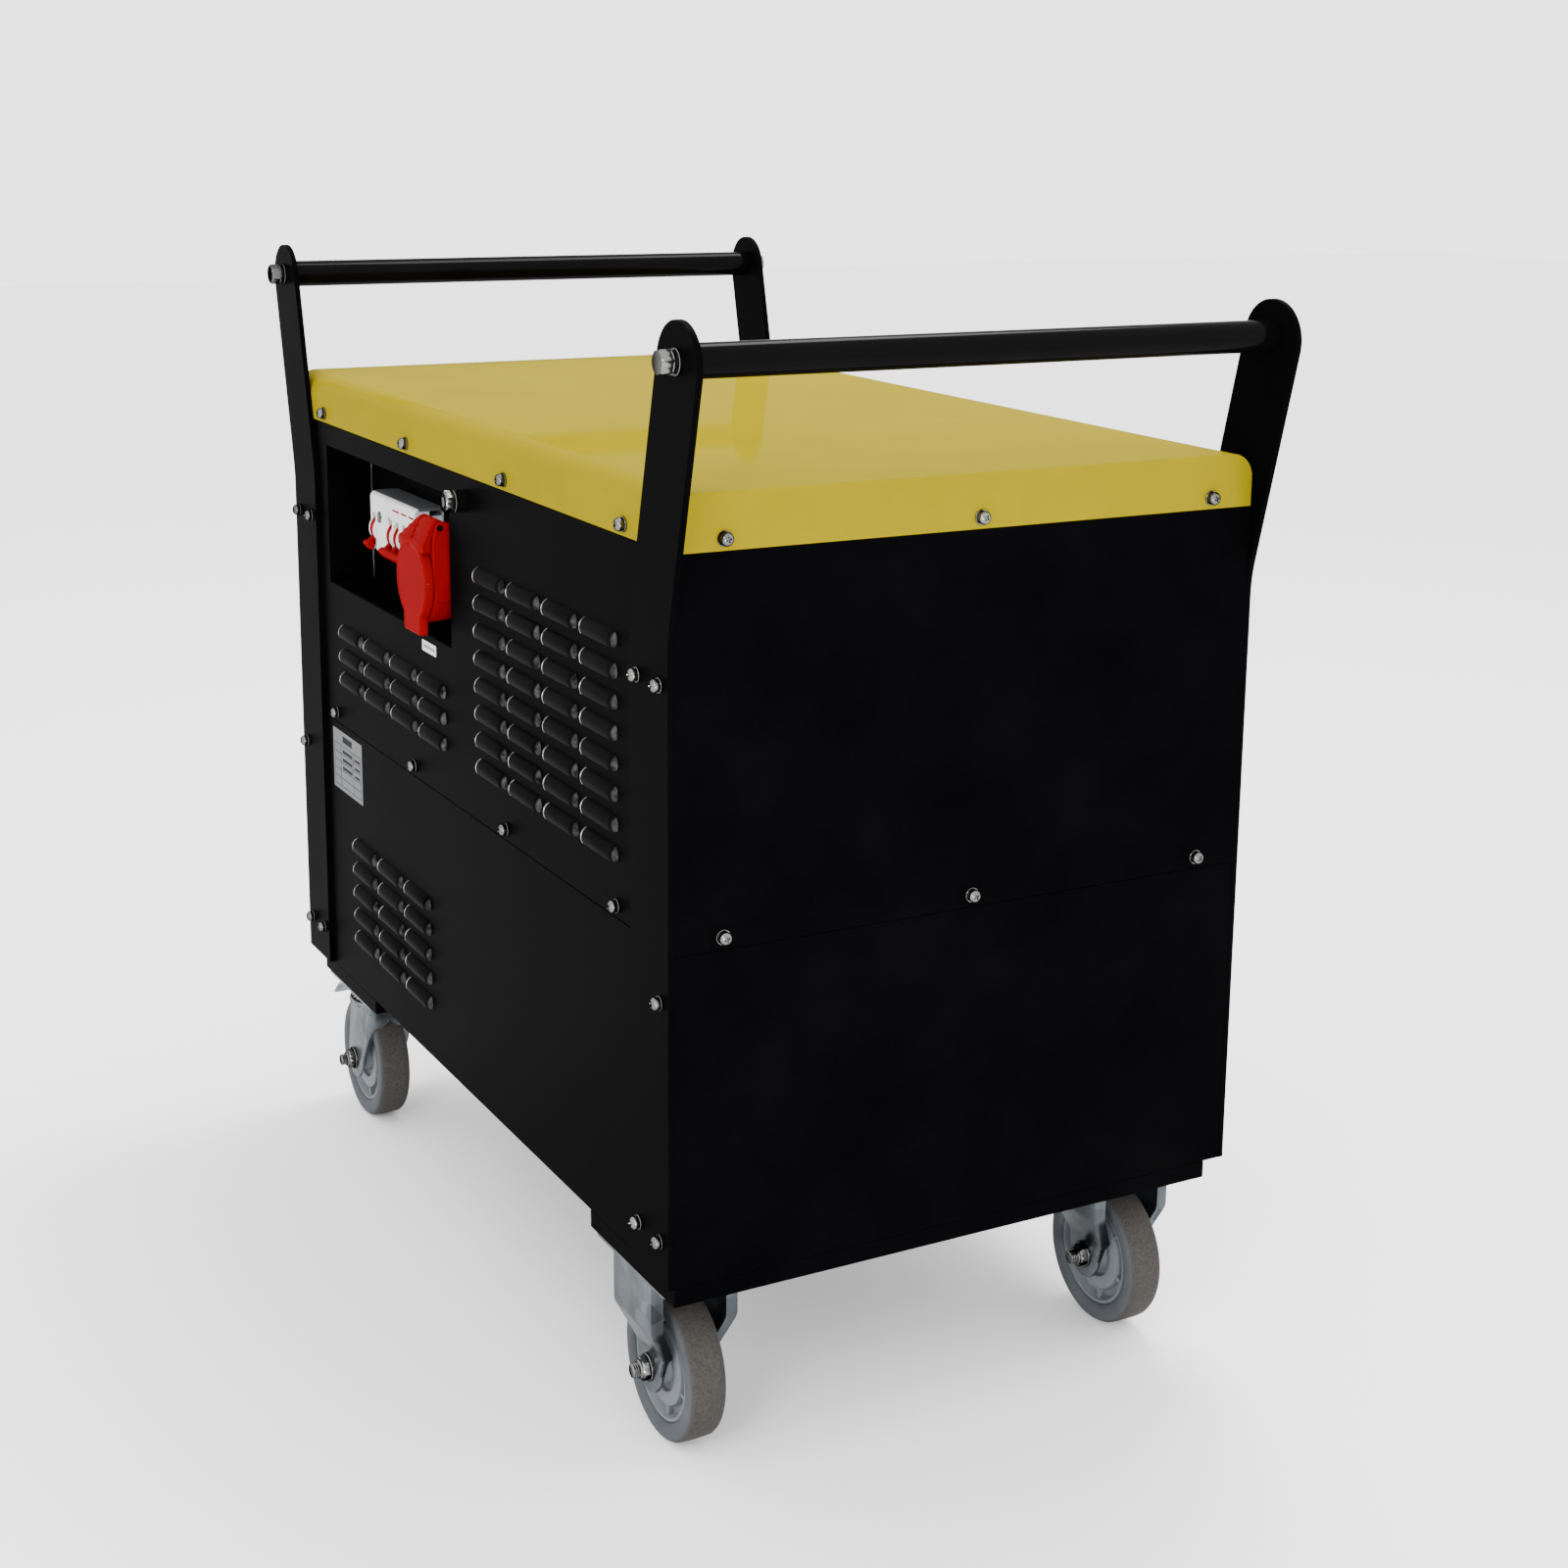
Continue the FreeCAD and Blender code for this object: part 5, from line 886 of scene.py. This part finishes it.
def make_rigid_caster(corner):
    """Front caster: a plate with two pressed legs down to the axle."""
    x, y = CASTERS[corner]
    plate = bmesh.new()
    add_caster_plate(plate, x, y)
    finish(corner + "_plate", plate, corner + "_fork")
    work = bmesh.new()
    levels = [(z, outer, (near, far), (flange, flange), 0) for z, outer, near, far, flange in (
        (153.6, 38.6, -35.6, 35.6, 11), (150, 38.6, -35.6, 35.6, 11), (112, 38.6, -35.6, 35.6, 11),
        (109, 38.2, -35.3, 34.8, 11), (106, 36.9, -34.8, 33.0, 11), (82, 25.7, -27.5, 23.0, 10),
        (79, 24.5, -26.2, 21.6, 9), (76, 24, -24.4, 20.8, 6.5), (AXLE_Z, 24, -20.5, 20.5, 4.5))]
    for side in (-1, 1):
        fork_leg(work, side, x, y, levels, (24, 0, 20.5))
    add_block(work, (x - 38, y - 35, 150.6), (x + 38, y + 35, 153.6))
    legs = finish(corner + "_fork_legs", work, corner + "_fork")
    # Painted shade: the zinc flanges facing front and back above the foot are darker, as if in
    # shadow.
    shade_faces(legs.data,
                lambda normal, centre: 0.85 if abs(normal.y) > 0.8 and centre.z > 66 else 0)
    make_axle(corner, x, FRONT_WHEEL_Y)
    make_wheel(corner, x, FRONT_WHEEL_Y)


def make_swivel_caster(corner, ball):
    """Rear caster: top plate and race, a fork that turns under them, its wheel and its brake."""
    x, y = CASTERS[corner]
    plate = bmesh.new()
    add_caster_plate(plate, x, y)
    add_turned(plate, [(153.6, 0), (153.6, 29), (152.6, 29.6), (150.6, 31.6), (148.6, 32.8),
                       (144.9, 33), (144.9, 29), (147, 27), (147, 8), (135.2, 8), (135.2, 0)],
               (x, y, 0), UP, 64)
    add_turned(plate, [(135.1, 0), (135.1, 9), (136.2, 11.4), (138, 12), (140.6, 12), (140.6, 7.9)],
               (x, y, 0), UP, 40)
    finish(corner + "_top_plate", plate, corner + "_swivel_plate")

    work = bmesh.new()
    levels = [(z, 24, (near, far), (front, 7.5), bulge) for z, near, far, front, bulge in (
        (144.5, -26, 46, 24, 10), (140, -21, 47, 24, 10), (134, -14, 48.5, 24, 8),
        (127, -8, 50, 24, 6), (120, -3.5, 51.5, 24, 4.5), (115.5, -1.5, 52.5, 23.5, 4),
        (112, -0.5, 53, 21, 3), (106, 0.5, 54.5, 15.5, 2), (98, 2, 56.5, 10, 1),
        (90, 5, 58.5, 7, 0), (80, 11, 60.5, 6, 0), (71, 17, 62, 6, 0), (AXLE_Z, 21.5, 62.5, 6, 0))]
    for side in (-1, 1):
        fork_leg(work, side, x, y, levels, (24, 42, 20.5))
    add_prism(work, [(x + a, y + b, 141.2) for a, b in oblong((-24, -30), (24, 45), 6, 4)],
              (0, 0, 3.2))
    add_turned(work, [(141, 8.2), (138.6, 34), (139.4, 36.6), (141.6, 37.8), (144.4, 38),
                      (144.4, 36.8), (143.0, 35.4), (142.4, 33.5), (144.3, 30.5), (144.3, 8.2)],
               (x, y, 0), UP, 72, closed=True)
    fork = finish(corner + "_fork_body", work, corner + "_fork")
    rivets = bmesh.new()
    for side in (-1, 1):
        for back, z in ((21, 130), (43.5, 128)):
            add_turned(rivets, [(-1, 0), (-1, 4.4), (0.3, 4.5), (1.2, 4.1), (2.1, 2.8), (2.5, 1.2),
                                (2.6, 0)], (x + side * 24, y + back, z), (side, 0, 0), 20)
    finish(corner + "_fork_rivets", rivets, corner + "_fork", "bright_steel")
    # Painted shade: the fork's flat side faces are darker zinc, as if in shadow.
    shade_faces(fork.data, lambda normal, centre: 0.5 if abs(normal.x) > 0.95 else 0)
    race_radius, race_z = 35.1, 146.3
    seats = [((x + race_radius * a, y + race_radius * b, race_z), RIGHT, UP)
             for a, b in circle(30)]
    set_on_seats(corner + "_race_balls", ball, seats, corner + "_fork", "bright_steel")
    make_axle(corner, x, REAR_WHEEL_Y)
    make_wheel(corner, x, REAR_WHEEL_Y)
    make_pedal(corner, x, y + 40, 134.0)


def make_pedal(corner, x, pivot_y, pivot_z):
    """Brake pedal: a pressed strip that widens to a lip with treads, on its pivot pin."""
    pedal = bmesh.new()
    path = [(-3, 0.4, 17), (4, -1.0, 17), (14, -3.0, 17), (28, -5.2, 17), (38, -6.6, 18),
            (46, -10, 22), (54, -14.5, 25), (61, -17.5, 25), (67, -17.5, 22), (71, -14, 17)]
    add_rings(pedal, [[(x + a, pivot_y + along, pivot_z + b)
                       for a, b in oblong((-half, rise - 1.5), (half, rise + 1.5), 1.2, 2)]
                      for along, rise, half in path])
    pivot = (x, pivot_y, pivot_z)
    add_turned(pedal, [(-17, 0), (-17, 4.7), (-16.6, 5), (16.6, 5), (17, 4.7), (17, 0)], pivot,
               RIGHT, 28)
    add_turned(pedal, [(-23.8, 0), (-23.8, 2.9), (23.8, 2.9), (23.8, 0)], pivot, RIGHT, 20)
    for side in (-1, 1):
        add_turned(pedal, [(0, 0), (0, 3.5), (0.9, 3.2), (1.5, 2.0), (1.7, 0)],
                   (x + side * 8.5, pivot_y + 29.4, pivot_z - 3.9), UP, 20)
    for number in range(4):
        add_turned(pedal, [(-15, 0), (-15, 0.7), (15, 0.7), (15, 0)],
                   (x, pivot_y + 47 + 4.2 * number, pivot_z - 9 - 2.1 * number), RIGHT, 10)
    finish(corner + "_brake", pedal, corner + "_brake_pedal")


def make_casters():
    """Two rigid casters at the front and two swivel casters at the rear."""
    for corner in ("front_left", "front_right"):
        make_rigid_caster(corner)
    ball = bmesh.new()
    bmesh.ops.create_icosphere(ball, subdivisions=2, radius=1.85 * MM)
    form = new_form("race_ball", ball, 60)
    for corner in ("rear_left", "rear_right"):
        make_swivel_caster(corner, form)


# Inlet socket

SOCKET_Y, SOCKET_Z = 59.0, 626.0
HINGE_X, HINGE_Z = -262.0, 683.0
SOCKET_AT = (0, SOCKET_Y, SOCKET_Z)


def lid_outline(shrink):
    """The lid seen from the front: a circle that runs into a short tab below."""
    radius, centre_z = 38 - shrink, 632.0
    tab, tab_low = 21 - shrink, 584 + shrink
    start = math.asin(min(1, tab / radius))
    points = []
    for step in range(41):
        turn = -math.pi / 2 + start + (2 * math.pi - 2 * start) * step / 40
        across, up = polar(radius, turn)
        points.append((SOCKET_Y + across, centre_z + up))
    corner = 4.0
    quarter = [polar(corner, math.pi / 2 * step / 4) for step in range(5)]
    points += [(SOCKET_Y - tab + corner - a, tab_low + corner - b) for a, b in quarter]
    points += [(SOCKET_Y + tab - corner + b, tab_low + corner - a) for a, b in quarter]
    return points


def make_socket_shell():
    """Red housing: flange, a mouth that widens to the hinge, and side cheeks."""
    work = bmesh.new()
    middle = (SOCKET_Y, SOCKET_Z)
    flange = oblong((SOCKET_Y - 38, SOCKET_Z - 38), (SOCKET_Y + 38, SOCKET_Z + 38), 8)
    add_rings(work, [[(x, y, z) for y, z in drawn_in(flange, shrink, (38, 38), middle)]
                     for x, shrink in ((-212.6, 0), (-216.6, 0), (-217.5, 0.9))])
    around = circle(64)
    outer = []
    for y, z in around:
        reach = 1.0
        if z > 0:
            reach = min(1 / max(abs(y), 1e-6), 1.2 / max(z, 1e-6), 1.42 - 0.2 * min(abs(y), z))
        outer.append((y * reach, z * reach))
    rings = [[(x, SOCKET_Y + a * half, 629.5 + b * half) for a, b in outer] for x, half in (
        (-217.4, 33.5), (-240, 35), (-262, 36.6), (-266.5, 37), (-267.8, 36.4))]
    rings += [[(x, SOCKET_Y + radius * a, SOCKET_Z + radius * b) for a, b in around]
              for x, radius in ((-267.8, 32.5), (-266.8, 31.5), (-225.9, 31.5))]
    add_rings(work, rings)
    cheek = rounded([(-240, 618, 0.5), (-267.4, 618, 0.5), (-268.4, 640, 0.5), (-268.4, 672, 3),
                     (-263.5, 689.4, 6), (-253, 687, 7), (-240, 668, 4)], 1.5, 5)
    for near, far, rise in ((SOCKET_Y - 37.5, SOCKET_Y - 32.5, 1),
                            (SOCKET_Y + 32.5, SOCKET_Y + 37.5, 0.1)):
        add_rings(work, [[(x + (-255 - x) * shrink / 25, y,
                           min(z, 668) + max(0, z - 668) * rise + (660 - z) * shrink / 25)
                          for x, z in cheek]
                         for y, shrink in ((near, 0.7), (near + 0.7, 0), (far - 0.7, 0),
                                           (far, 0.7))])
    finish("socket_shell", work, "socket_housing")

    pin = bmesh.new()
    add_turned(pin, [(20.9, 0), (20.9, 2.4), (21.4, 2.9), (22, 2.9), (22, 2), (66, 2), (66, 0)],
               (HINGE_X, 0, HINGE_Z), REAR, 24)
    finish("socket_hinge_pin", pin, "socket_lid_pin", coat="black_pressed")


def make_contacts():
    """The dark carrier in the socket's mouth, with five collars and contact pins."""
    carrier = bmesh.new()
    for profile in ([(-218, 0), (-218, 31.3), (-225.4, 31.3), (-226, 30.6), (-226, 0)],
                    [(-226, 0), (-226, 25), (-227.4, 24.4), (-227.4, 0)]):
        add_turned(carrier, profile, SOCKET_AT, RIGHT, 64)
    radius = 18
    places = [(SOCKET_Y + radius * a, SOCKET_Z + radius * b) for a, b in circle(5, 90)]
    for y, z in places:
        add_turned(carrier, [(-226, 5.4), (-230, 5.2), (-230, 3.4), (-226, 3.4)], (0, y, z), RIGHT,
                   24, closed=True)
    finish("contact_carrier", carrier, "socket_insert")
    contact = bmesh.new()
    add_turned(contact, [(20, 0), (20, 3), (-1.2, 3), (0, 2.6), (0, 0)], ORIGIN, RIGHT, 20)
    set_on_seats("contact_pins", new_form("contact_pin", contact),
                 [((-248.8, y, z), RIGHT, UP) for y, z in places], "socket_insert", "brass")


def make_socket_lid():
    """Round sprung lid with a tab below and two ribbed slopes up to its hinge."""
    lid = bmesh.new()
    add_rings(lid, [[(x, y, z) for y, z in lid_outline(shrink)] for x, shrink in (
        (-268.6, 0.6), (-269.2, 0), (-274.9, 0.4), (-276.1, 1.1), (-276.7, 2.4), (-276.7, 3.8),
        (-276.3, 4.8), (-276.3, 5.2), (-276.3, 7))])
    slope = [(-268.7, 660), (-276.2, 660), (-276.6, 666), (-276.2, 668.6), (-274.6, 669.6),
             (-273.6, 671.8), (-274.0, 673.6), (-272.4, 674.8), (-271.2, 677.0), (-271.4, 679.0),
             (-269.8, 680.2), (-268.4, 682.4), (-268.2, 684.4), (-266.4, 686.2), (-264.6, 688.8),
             (-262, 690), (-257.4, 688), (-255.4, 683), (-257.6, 679), (-262, 677.2),
             (-266.4, 676.2), (-268.7, 673)]
    inner, outer = 1.2, 31.6
    for near, far in ((SOCKET_Y - outer, SOCKET_Y - inner), (SOCKET_Y + inner, SOCKET_Y + outer)):
        add_rings(lid, [[(x + (-266 - x) * shrink / 12,
                          y - max(0, (y - SOCKET_Y) / outer) * max(0, z - 667) * 1.25,
                          z + (677 - z) * shrink / 12) for x, z in slope]
                        for y, shrink in ((near, 1.0), (near + 0.5, 0.3), (near + 1.2, 0),
                                          (far - 1.2, 0), (far - 0.5, 0.3), (far, 1.0))])
    add_prism(lid, [(x + (-265 - x) * 0.2, SOCKET_Y - 3, z + (676 - z) * 0.12) for x, z in slope],
              (0, 5, 0))
    add_turned(lid, [(-268, 0), (-268, 27), (-266.9, 28.6), (-266.9, 31.2), (-267.4, 30.8),
                     (-268.7, 30), (-268.7, 0)], (0, SOCKET_Y, SOCKET_Z + 2), RIGHT, 48)
    finish("socket_lid_cap", lid, "socket_lid")


# Breaker

NOSE_FRONT, PIVOT_X, PIVOT_Z = -240.0, -229.0, 643.0
NOSE_NEAR, UNIT_GAP, NOSE_FAR = 146.5, 226.5, 271.1
NOSE_LOW, NOTCH_TOP, NOSE_HIGH = 623.0, 659.2, 679.0
POLES = [159.9 + 18.4 * number for number in range(4)]
LEAKAGE_Y = 262.2


def make_breaker_nose():
    """The white front of both units, notched at the toggles, with round humps beside them."""
    work = bmesh.new()
    half_slot, hump = 4.7, 7.9
    toggles = POLES + [LEAKAGE_Y]
    solid, notched = (
        rounded([(-226, low), (NOSE_FRONT, low, own), (NOSE_FRONT, NOSE_HIGH, 5),
                 (-226, NOSE_HIGH)], 0.5, 5) for low, own in ((NOSE_LOW, 2), (NOTCH_TOP, 0)))
    for near, far in ((NOSE_NEAR, UNIT_GAP - 0.5), (UNIT_GAP + 0.5, NOSE_FAR)):
        edges = [near] + [y + side * half_slot for y in toggles if near < y - half_slot < far
                          for side in (-1, 1)] + [far]
        for number, (start, stop) in enumerate(zip(edges, edges[1:])):
            shape = notched if number % 2 else solid
            add_prism(work, [(x, start, z) for x, z in shape], (0, stop - start, 0))
    bmesh.ops.remove_doubles(work, verts=work.verts, dist=1e-5)
    for y in toggles:
        for side in (-1, 1):
            start, stop = y + side * half_slot, y + side * hump
            add_turned(work, [(start, 0), (start, 13.6), (start + side * 0.7, 14.3),
                              (stop - side * 1.6, 14.2), (stop - side * 0.4, 13), (stop, 11),
                              (stop, 0)], (PIVOT_X, 0, PIVOT_Z), REAR, 48)
    finish("breaker_nose", work, "breaker_case")


def make_breaker():
    """White row of modules with a grey crown, marks, humps round the toggles and a test button."""
    make_breaker_nose()
    shell = bmesh.new()
    add_block(shell, (-226, NOSE_NEAR + 4, NOSE_LOW + 4), (-211, NOSE_FAR - 4, NOSE_HIGH - 8))
    add_block(shell, (-210.6, NOSE_NEAR, 608), (-170.8, NOSE_FAR, 694))
    finish("breaker_body", shell, "breaker_case", edge=0.8)

    crown = bmesh.new()
    lip = oblong((-236.5, 676.6), (-211.2, 679.3), 0.6, 3)
    add_prism(crown, [(x, NOSE_NEAR - 0.3, z) for x, z in lip], (0, NOSE_FAR - NOSE_NEAR + 0.6, 0))
    finish("breaker_crown", crown, "breaker_case", "grey_button", edge=0.3, angle=30)

    marks = bmesh.new()
    for near, far, low, high in ((150, 165, 668.4, 670.2), (169.5, 185, 668.4, 670.2),
                                 (189.5, 209, 668.4, 670.2), (239.5, 250.5, 656.4, 658.4)):
        add_block(marks, (NOSE_FRONT - 0.12, near, low), (NOSE_FRONT + 1, far, high))
    finish("breaker_marks", marks, "breaker_case", "red_plastic", edge=0.2)
    spots = bmesh.new()
    for y, z in ((219.5, 659.4), (204, 654)):
        add_turned(spots, [(-0.15, 0), (-0.15, 1.3), (1, 1.3), (1, 0)], (NOSE_FRONT, y, z), RIGHT,
                   20)
    finish("breaker_spots", spots, "breaker_case", "grey_button")

    button = bmesh.new()
    outline = oblong((-3, -5.5), (3, 5.5), 2.6)
    add_rings(button, [[(x, 244.4 + a, 657 + b) for a, b in drawn_in(outline, shrink, (4, 7))]
                       for x, shrink in ((-232, 0), (-241.2, 0), (-242, 0.8), (-242, 1.6))])
    finish("test_key_cap", button, "test_button")

    tied_bar = [(18.5, -2.4, 0.6), (21.5, -5.0, 1), (26, -5.0), (26, 5.2), (21.5, 5.2, 1),
                (18.5, 2.4, 0.6)]
    single_bar = [(18.5, -2.2, 0.6), (20.8, -4.2, 0.8), (25, -4.2), (25, 4.4), (20.8, 4.4, 0.8),
                  (18.5, 2.2, 0.6)]
    make_toggle("breaker_levers", POLES, tied_bar, "breaker_toggle")
    make_toggle("leakage_lever_arm", [LEAKAGE_Y], single_bar, "leakage_toggle")
    dress("din_rail", 0.2)


def make_toggle(name, poles, bar, node):
    """A drum and a lever for each pole, with a bar across their ends."""
    work = bmesh.new()
    tilt = math.radians(42)
    out = Vector((-math.cos(tilt), 0, -math.sin(tilt)))
    over = Vector((-math.sin(tilt), 0, math.cos(tilt)))
    pivot = Vector((PIVOT_X, 0, PIVOT_Z))

    def add_levels(outline, reach, middle, levels):
        """A skin over levels (y, shrink) of an outline given along and over the lever."""
        add_rings(work, [[pivot + out * a + over * b + Vector((0, y, 0))
                          for a, b in drawn_in(outline, shrink, reach, middle)]
                         for y, shrink in levels])

    lever = rounded([(6, -4.2), (22, -3.2, 1), (24.5, -2.4, 1.5), (24.5, 2.6, 1.5), (22, 3.4, 1),
                     (6, 4.2)], 0.5, 3)
    for pole in poles:
        add_turned(work, [(pole - 4.5, 0), (pole - 4.5, 13.5), (pole - 4.1, 13.9),
                          (pole + 4.1, 13.9), (pole + 4.5, 13.5), (pole + 4.5, 0)],
                   (PIVOT_X, 0, PIVOT_Z), REAR, 40)
        add_levels(lever, (9, 4), (15, 0), [(pole - 3.4, 0.5), (pole - 2.9, 0), (pole + 2.9, 0),
                                            (pole + 3.4, 0.5)])
    near, far = poles[0] - 6.5, poles[-1] + 6.5
    add_levels(rounded(bar, 1.8, 4), (4, 5), (22.7, 0),
               [(near, 0.8), (near + 0.8, 0), (far - 0.8, 0), (far, 0.8)])
    finish(name, work, node)


# Earthing stud, labels and the fittings on the rear end

def make_stud():
    """Bolt through the left wall: black nut and washers at its root, bright ones at its end."""
    to_left = Matrix.Rotation(math.pi, 4, "Z")
    place = Matrix.Translation(Vector((-SIDE, -25.5, 714)) * MM) @ to_left
    root = bmesh.new()
    add_disc(root, 0, 2, 10, 0.4)
    add_hexagon(root, 17, 2, 7.4)
    add_disc(root, 7.4, 8.6, 9.0, 0.4)
    root.transform(place)
    finish("earthing_stud_root", root, "earth_stud", "black_powder", coat="black_pressed")
    end = add_bolt(bmesh.new(), [(8.9, 10.2, 9.9, 0.4), (10.3, 12.0, 8.2, 0.5)],
                   (17, 12.4, 18.4, 0.2), (12, 19.9, 4.8, 1.5))
    add_disc(end, -9, 12.2, 4.6, 0.3)
    add_hexagon(end, 17, -8.2, -2.05)
    end.transform(place)
    finish("earthing_stud_end", end, "earth_stud")


def make_labels():
    """Bare foil plates with a ruled table: lines and boxes without words."""
    for name, coat, low, high in (("rating_plate", None, (266, 367), (354, 428.5)),
                                  ("inlet_label", "off_white", (50, 561.5), (85, 571.5))):
        plate = bmesh.new()
        add_prism(plate, [(-257.45, y, z) for y, z in oblong(low, high, 1.2, 3)], (-0.35, 0, 0))
        finish(name, plate, "labels", angle=30, coat=coat)
    boxes = [(270, z, 350, z + 0.55) for z in (371, 379.5, 388, 396.5, 405, 413.5)]
    boxes += [(y, 371, y + 0.55, 414) for y in (270, 292, 330, 349.4)]
    boxes.append((296, 418, 324, 424.5))
    for z in (390, 398.5, 407):
        boxes += [(296, z, 325, z + 3), (273, z, 288, z + 2.4)]
    boxes += [(y, 565, y + 2.2, 568) for y in range(54, 82, 4)]
    rules = bmesh.new()
    for near, low, far, high in boxes:
        add_block(rules, (-257.9, near, low), (-257.7, far, high))
    finish("label_rules", rules, "labels", "dark_plastic")


KNOB_AT, TORCH_AT, WORK_AT = (0, 0, 636), (-110, 0, 526), (110, 0, 526)


def make_knob():
    """Current knob with a gripping rim and a pointer."""
    knob = bmesh.new()
    add_turned(knob, [(438.8, 0), (438.8, 19.4), (440, 20), (442.5, 20), (443.5, 17.6),
                      (452.5, 16.4), (454.2, 15), (454.8, 12.6), (454.3, 0)], KNOB_AT, REAR, 72)
    add_turned(knob, [(424.6, 0), (424.6, 3), (439, 3), (439, 0)], KNOB_AT, REAR, 24)
    finish("current_knob_cap", knob, "control_knob")
    rib = bmesh.new()
    outline = oblong((-1.0, -0.9), (1.0, 0.9), 0.6, 2)
    add_rings(rib, [[(x, share * a, b + rise) for a, b in outline]
                    for x, share, rise in ((0, 1, 0.3), (8.6, 1, -0.6), (9.2, 0.6, -1.2))])
    rim = 17
    seats = [((rim * a, 443.6, KNOB_AT[2] + rim * b), REAR, (a, 0, b)) for a, b in circle(24, 7.5)]
    set_on_seats("current_knob_ribs", new_form("knob_rib", rib), seats, "control_knob")
    pointer = bmesh.new()
    add_block(pointer, (-0.7, 454.0, 640), (0.7, 454.85, 650.5))
    finish("current_knob_pointer", pointer, "control_knob", "off_white", edge=0.15)


def make_outlets():
    """Torch connector on a screwed flange, and the work socket with its twist-lock mouth."""
    x, _, z = TORCH_AT
    flange = bmesh.new()
    add_prism(flange, [(x + a, 438.6, z + b) for a, b in oblong((-25, -25), (25, 25), 4)],
              (0, 2.8, 0))
    finish("torch_flange", flange, "torch_connector", "dark_plastic", edge=0.5)
    barrel = bmesh.new()
    profile = [(418.5, 0), (418.5, 15.4), (419.1, 16), (443.5, 16)]
    for turn in range(6):
        place = 443.9 + 1.8 * turn
        profile += [(place, 15.1), (place + 0.9, 15.1), (place + 1.3, 16)]
    profile += [(454.9, 16), (455.45, 15.4), (455.45, 11.5), (454.6, 10.8), (447, 10.8), (447, 7.4),
                (454, 7.4), (454.6, 6.8), (454.6, 4.9), (454.1, 4.5), (444, 4.5), (444, 0)]
    add_turned(barrel, profile, TORCH_AT, REAR, 64)
    finish("torch_barrel", barrel, "torch_connector", angle=30)
    screws = bmesh.new()
    for across, rise in ((-19, -19), (19, -19), (19, 19), (-19, 19)):
        add_turned(screws, [(440.6, 0), (440.6, 3.4), (442.6, 3.4), (443.5, 2.6), (443.7, 1.6),
                            (442.3, 1.5), (442.3, 0)], (x + across, 0, z + rise), REAR, 24)
    finish("torch_flange_screws", screws, "torch_connector", "bright_steel", angle=30)

    collar = bmesh.new()
    add_turned(collar, [(438.6, 12.4), (438.6, 18.9), (441.8, 18.9), (444.4, 17), (444.4, 13),
                        (443.8, 12.4)], WORK_AT, REAR, 64, closed=True)
    finish("work_collar", collar, "work_socket", "dark_plastic", angle=25)
    insert = bmesh.new()
    add_turned(insert, [(414.5, 0), (414.5, 13.4), (415.1, 14), (438, 14), (438, 12), (442.6, 12),
                        (443, 11.6), (443, 5.4), (442.2, 4.6), (419.5, 4.6), (419.5, 0)], WORK_AT,
               REAR, 56)
    finish("work_insert", insert, "work_socket", angle=30)
    keyway = bmesh.new()
    add_block(keyway, (108.6, 442.4, 530.9), (111.4, 443.12, 536.4))
    finish("work_keyway", keyway, "work_socket", "dark_plastic", edge=0.1)


# The parts inside the case keep their CAD shape, so every node takes its finish first.
for node in sorted(slot_of):
    paint(frame["nodes"][node].data, slot_of[node])
make_walls()
make_lid_and_posts()
make_fasteners()
make_casters()
make_socket_shell()
make_contacts()
make_socket_lid()
make_breaker()
make_stud()
make_labels()
make_knob()
make_outlets()
for form in forms:
    bpy.data.objects.remove(form)


# Floor, lights and camera

def make_floor():
    """A white floor under the model."""
    mesh = bpy.data.meshes.new("floor")
    half = 12
    corners = [(-half, -half, 0), (half, -half, 0), (half, half, 0), (-half, half, 0)]
    mesh.from_pydata(corners, [], [(0, 1, 2, 3)])
    floor = new_object("floor", mesh)
    material, shader = new_material("floor_paper")
    set_inputs(shader, Base_Color=(0.92, 0.92, 0.92, 1), Roughness=0.9)
    mesh.materials.append(material)


def add_light(name, place, target, size, power):
    """A soft box aimed at a point."""
    lamp = bpy.data.lights.new(name, "AREA")
    lamp.shape = "RECTANGLE"
    lamp.size, lamp.size_y = size
    lamp.energy = power
    light = new_object(name, lamp)
    light.location = place
    light.rotation_euler = (Vector(target) - Vector(place)).to_track_quat("-Z", "Y").to_euler()


def make_lights():
    """A bright white studio with three soft boxes."""
    world = bpy.data.worlds.new("studio")
    bpy.context.scene.world = world
    world.use_nodes = True
    set_inputs(world.node_tree.nodes["Background"], Color=(1, 1, 1, 1), Strength=3.0)
    add_light("overhead", (1.0, 0.6, 3.0), (0, 0, 0.5), (0.9, 1.3), 110)
    add_light("front_left", (-2.6, -2.4, 2.2), (0, 0, 0.5), (0.9, 0.9), 50)
    add_light("low_front", (-0.85, -2.75, 0.3), (-0.26, -0.1, 0.45), (0.4, 0.4), 45)


def make_camera():
    """The photograph's view, for an image 1600 pixels wide, with the lens axis a little off the
    middle.
    """
    image_width = 1600
    focal_pixels = 2493.9
    axis_pixel = (843.8, 646.1)
    lens = bpy.data.cameras.new("photo_view")
    lens.sensor_width = 36
    lens.sensor_fit = "HORIZONTAL"
    lens.lens = lens.sensor_width * focal_pixels / image_width
    lens.shift_x = (image_width / 2 - axis_pixel[0]) / image_width
    lens.shift_y = (axis_pixel[1] - image_width / 2) / image_width
    camera = new_object("photo_view", lens)
    camera.location = (-0.99375, -1.9714, 1.05105)
    camera.rotation_euler = tuple(math.radians(turn) for turn in (77.702, -0.732, -29.161))
    bpy.context.scene.camera = camera


make_floor()
make_lights()
make_camera()
